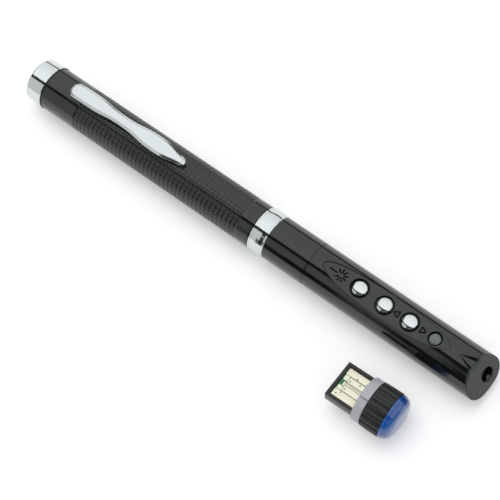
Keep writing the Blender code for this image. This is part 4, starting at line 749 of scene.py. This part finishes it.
bpy.ops.mesh.bisect(
    plane_co=(0, 0, roof * mm), plane_no=(0, 0, 1), use_fill=True, threshold=0.001 * mm,
    clear_outer=True,
)
bpy.ops.object.mode_set(mode="OBJECT")
cutWith(keypad, cavity)
cutWith(keypad, borer(shellBack - overrun, shellShape["pocketFront"], shellShape["pocketBore"], sides=96))
slantCut(keypad, -shellShape["plate"], keepFront=False)
cutWith(keypad, sightGroove())
laserBore = shellShape["laserBore"]
cutWith(keypad, borer(cavityFront - overrun, shellFront + overrun, laserBore, sides=64, aside=laserAside))

# Signs cut into the scoop: a beam that ends in a burst, and a triangle after each of the other two buttons
signShape = {
    "depth": 0.4, "burst": 108.5, "rays": 9, "rayTurn": 20, "rayInner": 0.6, "rayOuter": 1.9,
    "rayWidth": 0.42, "beam": (104.7, 107.2), "beamWidth": 0.42, "back": 126.45, "forward": 134.6,
    "triangle": 1.05, "line": 0.38,
}


def engrave(along, low, high, turn=0.0):
    # one straight cut into the scoop's floor, turned about its own zero and moved along the pen
    floor = scoopHeight(along) - lipDepth - signShape["depth"]
    cutter = block((low[0], low[1], floor), (high[0], high[1], shellRadius + overrun))
    cutter.matrix_world = Matrix.Translation((along * mm, 0, 0)) @ Matrix.Rotation(turn, 4, "Z")
    pick(cutter)
    settle()
    cutWith(keypad, cutter)


half = signShape["beamWidth"] / 2
start, end = signShape["beam"]
middle = (start + end) / 2
engrave(middle, (start - middle, -half), (end - middle, half))
half = signShape["rayWidth"] / 2
for i in range(signShape["rays"]):
    if i == signShape["rays"] // 2:
        continue  # the beam comes in here
    turn = math.tau * i / signShape["rays"] + math.radians(signShape["rayTurn"])
    engrave(signShape["burst"], (signShape["rayInner"], -half), (signShape["rayOuter"], half), turn)
middle = signShape["triangle"] / 2
half = signShape["line"] / 2
side = signShape["triangle"] * math.sqrt(3) / 2
for centre, pointing in ((signShape["back"], math.pi), (signShape["forward"], 0.0)):
    for i in range(3):
        turn = pointing + math.tau * i / 3 + math.pi / 3
        engrave(centre, (middle - half, -side), (middle + half, side), turn)

# Painted shade: near black fills the signs below the scoop's floor, and the sight groove's steep walls, where
# shade falls
paintedShadeArea = {"back": 104.0, "front": 136.3, "half": 2.3, "base": 4.5, "below": 0.05, "clear": 0.02,
             "grooveHalf": 2.4, "grooveBase": 5.0, "grooveWall": 0.2}


def isPaintedShade(centre, normal):
    aside = abs(centre.y)
    if centre.x > shellShape["grooveBack"]:
        inside = math.hypot(centre.y, centre.z) < shellRadius - 0.01 and aside < paintedShadeArea["grooveHalf"]
        return inside and abs(normal.y) > paintedShadeArea["grooveWall"] and centre.z > paintedShadeArea["grooveBase"]
    if aside > paintedShadeArea["half"] or centre.z < paintedShadeArea["base"]:
        return False
    if not paintedShadeArea["back"] < centre.x < paintedShadeArea["front"]:
        return False
    toWell = min(math.hypot(centre.x - along, centre.y) for along in shellShape["buttons"])
    if toWell < shellShape["well"] + paintedShadeArea["clear"]:
        return False
    return centre.z < scoopHeight(centre.x) - lipDepth - paintedShadeArea["below"]


fit(keypad, penPlace, "front_half", "black_lacquer", lacquer, "keypad_shell", smooth=11)
# the faces in the signs and on the sight groove's walls take the painted shade
keypad.data.materials.append(signAndGrooveShade)
toPen = penPlace.inverted()
for face in keypad.data.polygons:
    if isPaintedShade(toPen @ face.center / mm, face.normal):
        face.material_index = 1
print("keypad shell made")

# Nose plate: matt slanted face with the laser's opening, its rim rounded into the shell
noseShape = {"back": 148.0, "thickness": 0.6, "opening": 2.2, "tunnelBack": 149.52, "tunnelFront": 152.6,
             "tunnelRadius": 2.6, "tunnelSunk": 0.3}
nose = turned("nosePlate", noseOutline(noseShape["back"]), sides=192, startCap=True, endCap=True)
slantCut(nose, -noseShape["thickness"], keepFront=True)
slantCut(nose, 0.0, keepFront=False)
opening = noseShape["opening"]
cutWith(nose, borer(noseShape["back"] - overrun, shellFront + overrun, opening, sides=72, aside=laserAside))
cutWith(nose, sightGroove())
roundEdges(nose, width=0.12, count=3, above=30)
fit(nose, penPlace, "front_half", "matt_grey_plastic", mattPlastic, "nose_plate", smooth=30, flatten=True)
back, front, radius = sizes(noseShape, "tunnelBack tunnelFront tunnelRadius")
outline = [(back, opening), (back, radius), (front, radius), (front, opening), (back, opening)]
tunnel = turned("laserTunnel", outline, sides=72)
slantCut(tunnel, -noseShape["tunnelSunk"], keepFront=False)
tunnelPlace = penPlace @ Matrix.Translation((0, laserAside * mm, 0))
fit(tunnel, tunnelPlace, "front_half", "black_nylon", blackNylon)
print("nose made")

# Buttons: chrome domes that rise steeply from the rim and flatten towards the top
buttonShape = {"base": 4.73, "radius": 2.25, "edge": 0.25, "top": 6.03, "steps": 20, "centre": 1.5,
               "pole": 0.05}
base, radius, edge, top, steps = sizes(buttonShape, "base radius edge top steps")
outline = [(base, buttonShape["centre"]), (base, radius)]
for i in range(steps):
    turn = math.pi / 2 * i / steps
    outline.append((base + edge + (top - base - edge) * math.sin(turn), radius * math.cos(turn)))
outline.append((top, buttonShape["pole"]))
buttonModel = turned("buttonModel", outline, sides=72, startCap=True, endCap=True, upright=True)
for name, along in zip(("laser", "back", "forward"), shellShape["buttons"]):
    cap = copied(buttonModel, f"{name}ButtonCap")
    fit(cap, penPlace @ Matrix.Translation((along * mm, 0, 0)), f"{name}_button", "chrome", chrome,
        f"button_cap_{name}")
bpy.data.objects.remove(buttonModel)

# Status lamp: a frosted disc with a small ring moulded in its middle
lampShape = {"base": 1.38, "flange": 1.9, "flangeTop": 2.38, "radius": 1.52, "sunk": 0.3, "crown": 0.35,
             "ring": (0.45, 0.68), "ringDeep": 0.08, "centre": 0.5}
base, flange, flangeTop, radius, crown = sizes(lampShape, "base flange flangeTop radius crown")
ringInner, ringOuter = lampShape["ring"]
rimHeight = scoopHeight(shellShape["lamp"]) - lampShape["sunk"] - crown
outline = [(base, lampShape["centre"]), (base, flange), (flangeTop, flange), (flangeTop, radius)]
for height, ring in domePoints(rimHeight, radius, crown, count=14):
    outline.append((height - (lampShape["ringDeep"] if ringInner < ring < ringOuter else 0.0), ring))
lamp = turned("statusLamp", outline, sides=64, startCap=True, endCap=True, upright=True)
fit(lamp, penPlace @ Matrix.Translation((shellShape["lamp"] * mm, 0, 0)), "front_half", "pale_lamp_lens",
    lampPlastic, "status_lamp")
print("buttons and lamp made")

# Receiver plug: a black frame with a sunk floor for the contact board
plugShape = {"root": 10.15, "half": 5.6, "halfHeight": 1.6, "rim": 0.95, "floor": 0.0}
root, half, halfHeight, rim, floor = sizes(plugShape, "root half halfHeight rim floor")
plug = block((0, -half, -halfHeight), (root, half, halfHeight), "plugFrame")
cutWith(plug, block((rim, rim - half, floor), (root + overrun, half - rim, halfHeight + overrun)))
roundEdges(plug, width=0.16, count=3, above=40)
fit(plug, receiverPlace, "receiver", "black_nylon", plugPlastic, "usb_frame")

# Contact board and its four gold contacts with small plated holes
boardShape = {"back": 1.05, "front": 17.99, "half": 4.55, "base": 0.02, "top": 1.02}
back, front, boardHalf, boardBase, boardTop = sizes(boardShape, "back front half base top")
board = block((back, -boardHalf, boardBase), (front, boardHalf, boardTop), "contactBoard")
roundEdges(board, width=0.06, count=1, above=40)
fit(board, receiverPlace, "receiver", "green_laminate", laminate, "usb_board")
contactShape = {"base": 1.04, "top": 1.16, "front": 9.15, "hole": 0.2}
contacts = {  # the back end and two sides of each, and the middles of its holes
    "usb_pad_power": (1.15, -4.5045, -2.4115, ((2.1, -3.6), (3.1, -2.75))),
    "usb_pad_data_minus": (2.75, -2.184, -0.546, ((3.3, -1.4),)),
    "usb_pad_data_plus": (2.75, 0.546, 2.184, ((3.4, 1.1), (6.1, 1.7))),
    "usb_pad_ground": (1.15, 2.4115, 4.5045, ((4.6, 2.75), (7.6, 3.0))),
}
base, top = contactShape["base"], contactShape["top"]
for node, (back, low, high, holes) in contacts.items():
    contact = block((back, low, base), (contactShape["front"], high, top))
    contact.name = "contact" + node.removeprefix("usb_pad_").title().replace("_", "")
    for along, across in holes:
        cutWith(contact, rod((along, across, base - overrun), (along, across, top + overrun),
                             contactShape["hole"], sides=20))
    roundEdges(contact, width=0.03, count=2, above=40)
    fit(contact, receiverPlace, "receiver", "gold_pads", goldPlate, node)
# Pale plated runs fill the board between the contacts, so only fine lines and a few green spots show
runShape = {"top": 1.13, "runs": ((1.35, 2.65, -2.3, -1.0), (2.1, 2.65, -0.8, 0.35), (1.35, 2.65, 0.75, 2.3),
                                  (2.75, 9.15, -0.4, 0.02), (2.75, 9.15, 0.16, 0.4))}
for i, (back, front, low, high) in enumerate(runShape["runs"]):
    run = block((back, low, base), (front, high, runShape["top"]), f"platedRun{i + 1}")
    roundEdges(run, width=0.02, count=1, above=40)
    fit(run, receiverPlace, "receiver", "gold_pads", goldPlate)
print("plug made")

# Collar: satin ring with a key slot, and slots for the plug's frame and board; edges are steps along and in
collarShape = {
    "back": 8.55, "front": 11.2, "radius": 6.4, "spigot": 5.65, "spigotFront": 12.8, "centre": 0.5,
    "backEdge": ((0.0, 0.3), (0.05, 0.2), (0.2, 0.06), (0.35, 0.0)), "frontEdge": ((0.08, 0.0), (0.0, 0.06)),
    "plugGap": 0.05, "plugEndGap": 0.02, "boardGap": 0.1, "key": (-2.85, -2.35), "keyFloor": 5.35,
}
back, front, radius, gap = sizes(collarShape, "back front radius boardGap")
spigot, spigotFront = sizes(collarShape, "spigot spigotFront")
outline = [(back, collarShape["centre"])]
outline += [(back + along, radius - sunk) for along, sunk in collarShape["backEdge"]]
outline += [(front - along, radius - sunk) for along, sunk in collarShape["frontEdge"]]
outline += [(front, spigot), (spigotFront, spigot), (spigotFront, collarShape["centre"])]
collar = turned("keyedCollar", outline, startCap=True, endCap=True)
plugHalf, plugHeight = half + collarShape["plugGap"], halfHeight + collarShape["plugGap"]
cutWith(collar, block((back - overrun, -plugHalf, -plugHeight),
                      (root + collarShape["plugEndGap"], plugHalf, plugHeight)))
cutWith(collar, block((back - overrun, -boardHalf - gap, boardBase - gap),
                      (spigotFront + overrun, boardHalf + gap, boardTop + gap)))
cutWith(collar, block((back - overrun, collarShape["key"][0], collarShape["keyFloor"]),
                      (spigotFront + overrun, collarShape["key"][1], radius + overrun)))
fit(collar, receiverPlace, "receiver", "pale_grey_plastic", collarPlastic, "usb_collar", smooth=30)

# Grip: a fluted rubber-black ring; its profile runs along from its back edge
gripShape = {
    "back": 11.22, "bore": 5.7, "flutes": 18, "fluteSteps": 10, "depth": 0.35, "land": 0.3, "fullness": 0.8,
    "profile": ((0.0, 6.3), (0.06, 6.41), (0.23, 6.48), (0.98, 6.5), (2.78, 6.55), (5.62, 6.55), (5.78, 6.47),
                (5.85, 6.3)),
}
back, bore = gripShape["back"], gripShape["bore"]
outline = [(back, bore)] + [(back + along, out) for along, out in gripShape["profile"]]
outline += [(outline[-1][0], bore), (back, bore)]
grip = turned("flutedGrip", outline, sides=gripShape["flutes"] * gripShape["fluteSteps"])
innermost = (bore + gripShape["profile"][0][1]) / 2
for vertex in grip.data.vertices:
    reach = math.hypot(vertex.co.y, vertex.co.z)
    if reach > innermost * mm:
        turn = math.atan2(vertex.co.y, vertex.co.z) - math.radians(layout["receiverRoll"])
        phase = (turn * gripShape["flutes"] / math.tau) % 1.0
        share = max(0.0, (phase - gripShape["land"]) / (1 - gripShape["land"]))
        depth = gripShape["depth"] * max(0.0, math.sin(math.pi * share)) ** gripShape["fullness"]
        shrink = (reach - depth * mm) / reach
        vertex.co.y *= shrink
        vertex.co.z *= shrink
fit(grip, receiverPlace, "receiver", "black_rubber", blackRubber, "usb_grip", smooth=40)

# Clear blue cap with a rim band and a domed face, hollow from behind; edges are steps along and in
blueCapShape = {
    "back": 15.49, "bore": 4.85, "spigot": 5.65, "bandBack": 17.09, "bandFront": 17.89, "band": 6.45,
    "backEdge": (0.07, 0.08), "frontEdge": (0.09, 0.07), "crown": 6.2, "rise": 2.2,
    "dome": ((0.0, 1.0), (0.15, 0.994), (0.3, 0.98), (0.44, 0.955), (0.56, 0.92), (0.68, 0.88), (0.77, 0.83),
             (0.85, 0.77), (0.91, 0.71), (0.955, 0.61), (0.985, 0.45), (0.997, 0.25), (1.0, 0.06)),
    "hollow": ((0.71, 3.4), (1.1, 2.0)),
}
back, bore, spigot, backEdge, frontEdge = sizes(blueCapShape, "back bore spigot backEdge frontEdge")
bandBack, bandFront, band = sizes(blueCapShape, "bandBack bandFront band")
outline = [(back, bore), (back, spigot), (bandBack, spigot), (bandBack, band - backEdge[1]),
           (bandBack + backEdge[0], band), (bandFront - frontEdge[0], band), (bandFront, band - frontEdge[1])]
for along, out in blueCapShape["dome"]:
    outline.append((bandFront + blueCapShape["rise"] * along, blueCapShape["crown"] * out))
domed = turned("blueLensCap", outline, endCap=True)
outline = [(back - overrun, bore), (bandFront, bore)]
outline += [(bandFront + along, out) for along, out in blueCapShape["hollow"]]
hollow = turned("capHollow", outline, sides=96, startCap=True, endCap=True)
pick(domed)
bpy.ops.object.mode_set(mode="EDIT")
bpy.ops.mesh.select_all(action="DESELECT")
bpy.ops.mesh.select_non_manifold()
bpy.ops.mesh.edge_face_add()
bpy.ops.object.mode_set(mode="OBJECT")
tidyMesh(domed)
cutWith(domed, hollow)
fit(domed, receiverPlace, "receiver", "blue_clear_plastic", bluePlastic, "usb_lens_cap", smooth=30)
print("receiver made")

# Batteries: a foil sleeve rolled over both ends, a steel base and a stepped steel nub
cellShape = {
    "length": 44.5, "radius": 5.25, "roll": 0.4, "sleeveLoop": 1.0, "plate": 4.7, "plateEdge": 0.5,
    "crease": 0.12, "creaseGap": 0.05, "step": 0.02, "ring": 2.9, "ringEdge": 0.1, "nub": 1.9,
    "nubLength": 1.1, "nubFoot": 0.25, "nubEdge": (0.15, 0.18), "centre": 0.4, "foilEdge": 0.06,
}
length, radius, roll, loop, centre = sizes(cellShape, "length radius roll sleeveLoop centre")
plate, crease, creaseGap, step = sizes(cellShape, "plate crease creaseGap step")
ring, ringEdge, nub, nubFoot, nubEdge = sizes(cellShape, "ring ringEdge nub nubFoot nubEdge")
shoulder = length - cellShape["nubLength"]
rolled = radius - roll
outline = [(0.0, centre), (0.0, plate - cellShape["plateEdge"]), (crease, plate), (step, rolled - creaseGap)]
outline += arcPoints(roll, rolled, roll, start=180, end=90, count=6)
outline += [(loop, radius), (shoulder - loop, radius)]
outline += arcPoints(shoulder - roll, rolled, roll, start=90, end=0, count=6)
outline += [(shoulder - crease, rolled - ringEdge), (shoulder - crease, ring), (shoulder, ring - ringEdge),
            (shoulder + step, nub + nubFoot), (shoulder + nubFoot, nub), (length - nubEdge[0], nub),
            (length, nub - nubEdge[1]), (length, centre)]
cellModel = turned("cellModel", outline, sides=96, startCap=True, endCap=True)
for material in (batterySleeve, brightSteel):
    cellModel.data.materials.append(material)
steelRadius = rolled - cellShape["foilEdge"]
for face in cellModel.data.polygons:
    face.material_index = int(math.hypot(face.center.y, face.center.z) < steelRadius * mm)
for node in ("battery_rear", "battery_front"):
    cell = copied(cellModel, "cell" + node.removeprefix("battery_").title())
    cellPlace = Matrix.Translation((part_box(node)[0].x, penPlace.translation.y, penPlace.translation.z))
    fit(cell, cellPlace, "front_half", "battery_wrap", batterySleeve, node, smooth=50)
bpy.data.objects.remove(cellModel)

# Other inner pieces keep the CAD's shape: merged, their edges just broken, and shaded smoothly
innerShape = {"merge": 0.002, "flat": 1.0, "edge": 0.05, "edgeSteps": 2, "edgeAbove": 45}
innerFinishes = {
    "black_nylon": blackNylon, "black_rubber": blackRubber, "steel": brightSteel, "brass": turnedBrass,
    "green_laminate": laminate, "pale_lamp_lens": lampPlastic, "lens_glass": lensGlass,
}
slots = {entry["node"]: entry["material_slot"] for entry in frame["record"]["subparts"]}
bodies = {node: body for body, nodes in frame["record"]["behaviour"]["bodies"].items() for node in nodes}
softened = 0
for name, node in frame["nodes"].items():
    if node.hide_render:
        continue
    words = name.split("_")
    piece = copied(node, words[0] + "".join(word.title() for word in words[1:]) + "Finished")
    for key in [key for key in piece.keys() if key.startswith("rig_")]:
        del piece[key]
    piece.parent = None
    piece.matrix_world = Matrix.Identity(4)
    pick(piece)
    bpy.ops.mesh.customdata_custom_splitnormals_clear()
    editAll()
    bpy.ops.mesh.remove_doubles(threshold=innerShape["merge"] * mm)
    bpy.ops.mesh.dissolve_limited(angle_limit=math.radians(innerShape["flat"]))
    bpy.ops.mesh.normals_make_consistent(inside=False)
    bpy.ops.object.mode_set(mode="OBJECT")
    isSpring = name == "tail_spring"
    if not isSpring:
        roundEdges(piece, innerShape["edge"], innerShape["edgeSteps"], innerShape["edgeAbove"])
    fit(piece, Matrix.Identity(4), bodies[name], slots[name], innerFinishes[slots[name]], name,
        flatten=not isSpring)
    softened += 1
print("inner pieces softened and dressed:", softened)

# Floor: pale paper that the camera and mirrors see nearly white, and that keeps the pieces' shadows
floorLook = {"size": 3.0, "tones": ("#f2f3f3", "#f6f7f7"), "grain": 1.11, "glow": 0.26}
deselectAll()
bpy.ops.mesh.primitive_plane_add(size=floorLook["size"], location=(0, 0, 0))
floor = bpy.context.object
floor.name = "floor"
paper, tree, shader, place = newFinish("palePaperSweep", Roughness=0.9)
grain = addNode(tree, "TexNoise", {"Vector": place, "Scale": 1 / (floorLook["grain"] * mm), "Detail": 2.0})
shade = addNode(tree, "ValToRGB", {"Fac": grain},
                [(0.3, hexColour(floorLook["tones"][0])), (0.7, hexColour(floorLook["tones"][1]))])
feed(shader, Base_Color=shade)
rays = addNode(tree, "LightPath").outputs
seen = addNode(tree, "Math", {0: rays["Is Camera Ray"], 1: rays["Is Glossy Ray"]}, operation="MAXIMUM")
seen = addNode(tree, "Math", {0: seen, 1: rays["Is Transmission Ray"]}, operation="MAXIMUM")
glow = addNode(tree, "Math", {0: seen, 1: floorLook["glow"]}, operation="MULTIPLY")
light = addNode(tree, "Emission", {"Color": hexColour("#ffffff"), "Strength": glow})
both = addNode(tree, "AddShader", {0: shader, 1: light})
tree.links.new(both.outputs[0], tree.nodes["Material Output"].inputs["Surface"])
floor.data.materials.append(paper)

# Room: a bright ceiling panel, a dimmer one in front, dark gaps between them and at the horizon
roomLook = {"fill": 0.62, "ceiling": 1.22, "front": 0.75, "gap": 0.03, "far": 0.95, "strip": 0.4,
            "panel": [0.975, 1.0, 0.995, 1.0], "end": [0.06, 0.06, 0.06, 1.0]}
gap, ceiling, frontPanel, strip = sizes(roomLook, "gap ceiling front strip")
world = bpy.data.worlds.new("studio")
bpy.context.scene.world = world
world.use_nodes = True
tree = world.node_tree
tree.nodes.clear()
direction = addNode(tree, "TexCoord").outputs["Generated"]
parts = addNode(tree, "SeparateXYZ", {0: direction}).outputs
towardsUs = addNode(tree, "Math", {0: parts["Y"], 1: -1.0}, operation="MULTIPLY")
angle = addNode(tree, "Math", {0: towardsUs, 1: parts["Z"]}, operation="ARCTAN2")
# 0 at the far horizon, 0.5 overhead, 1 at the near horizon
height = addNode(tree, "MapRange", {"Value": angle, "From Min": -math.pi / 2,
                                    "From Max": math.pi / 2})
overhead = [(0.0, gap), (0.035, gap), (0.055, roomLook["far"]), (0.45, ceiling), (0.598, ceiling),
            (0.61, gap), (0.672, gap)]
# the front panel is whole towards the tail, has a dark slot towards the middle, and ends before the nose
wholeStops = overhead + [(0.69, frontPanel), (1.0, frontPanel * 0.95)]
slotStops = overhead + [(0.69, frontPanel), (0.865, frontPanel), (0.885, gap), (1.0, gap)]
endStops = overhead + [(0.72, gap * 2), (0.76, strip), (0.80, gap), (1.0, gap)]
whole = addNode(tree, "ValToRGB", {"Fac": height}, wholeStops)
slotted = addNode(tree, "ValToRGB", {"Fac": height}, slotStops)
ended = addNode(tree, "ValToRGB", {"Fac": height}, endStops)
lengthwise = addNode(tree, "MapRange", {"Value": parts["X"], "From Min": -0.36, "From Max": -0.14})
slotShare = addNode(tree, "ValToRGB", {"Fac": lengthwise}, [
    (0.15, 0.0), (0.24, 1.0), (0.47, 1.0), (0.53, 0.4), (0.62, 0.4), (0.69, 1.0),
])
endShare = addNode(tree, "ValToRGB", {"Fac": lengthwise}, [(0.8, 0.0), (0.87, 1.0)])
panels = addNode(tree, "Mix", {"Factor": slotShare, "A": whole, "B": slotted}, data_type="RGBA")
panels = addNode(tree, "Mix", {"Factor": endShare, "A": panels, "B": ended},
                 data_type="RGBA")
# both panels stop short of the room's two ends
sideways = addNode(tree, "Math", {0: parts["X"]}, operation="ABSOLUTE")
within = addNode(tree, "ValToRGB", {"Fac": sideways},
                 [(0.84, roomLook["panel"]), (0.92, roomLook["end"])])
panels = addNode(tree, "Mix", {"Factor": 1.0, "A": panels, "B": within}, data_type="RGBA",
                 blend_type="MULTIPLY")
rays = addNode(tree, "LightPath").outputs
mirrored = addNode(tree, "Math", {0: rays["Is Glossy Ray"], 1: rays["Is Transmission Ray"]},
                   operation="MAXIMUM")
fill = (roomLook["fill"], roomLook["fill"], roomLook["fill"], 1.0)
room = addNode(tree, "Mix", {"Factor": mirrored, "A": fill, "B": panels}, data_type="RGBA")
backdrop = addNode(tree, "Mix", {"Factor": rays["Is Camera Ray"], "A": room,
                                 "B": (1.0, 1.0, 1.0, 1.0)}, data_type="RGBA")
background = addNode(tree, "Background", {"Color": backdrop, "Strength": 1.0})
addNode(tree, "OutputWorld", {"Surface": background})

# One soft lamp over the far side, which casts the soft shadows
lampLook = {"power": 1.5, "size": 0.5, "place": (-0.12, 0.1, 0.62)}
deselectAll()
bpy.ops.object.light_add(type="AREA", location=lampLook["place"])
softLight = bpy.context.object
softLight.data.energy = lampLook["power"]
softLight.data.size = lampLook["size"]
softLight.rotation_euler = (-Vector(lampLook["place"])).to_track_quat("-Z", "Y").to_euler()
softLight.visible_glossy = False

# Camera, as fitted to the outlines in the photo
cameraLook = {
    "place": (136.31, -89.73, 396.31), "forward": (-0.3126, 0.2223, -0.9235), "up": (-0.5365, 0.7610, 0.3648),
    "lens": 112.16, "sensor": 36.0,
}
forward = Vector(cameraLook["forward"]).normalized()
up = Vector(cameraLook["up"])
up = (up - forward * up.dot(forward)).normalized()
right = forward.cross(up)
deselectAll()
bpy.ops.object.camera_add()
camera = bpy.context.object
turn = Matrix((right, up, -forward)).transposed()
camera.matrix_world = Matrix.Translation(Vector(cameraLook["place"]) * mm) @ turn.to_4x4()
camera.data.lens = cameraLook["lens"]
camera.data.sensor_width = cameraLook["sensor"]
camera.data.clip_start = 0.01
bpy.context.scene.camera = camera
bpy.context.scene.view_settings.view_transform = "Standard"
print("floor, light and camera set")
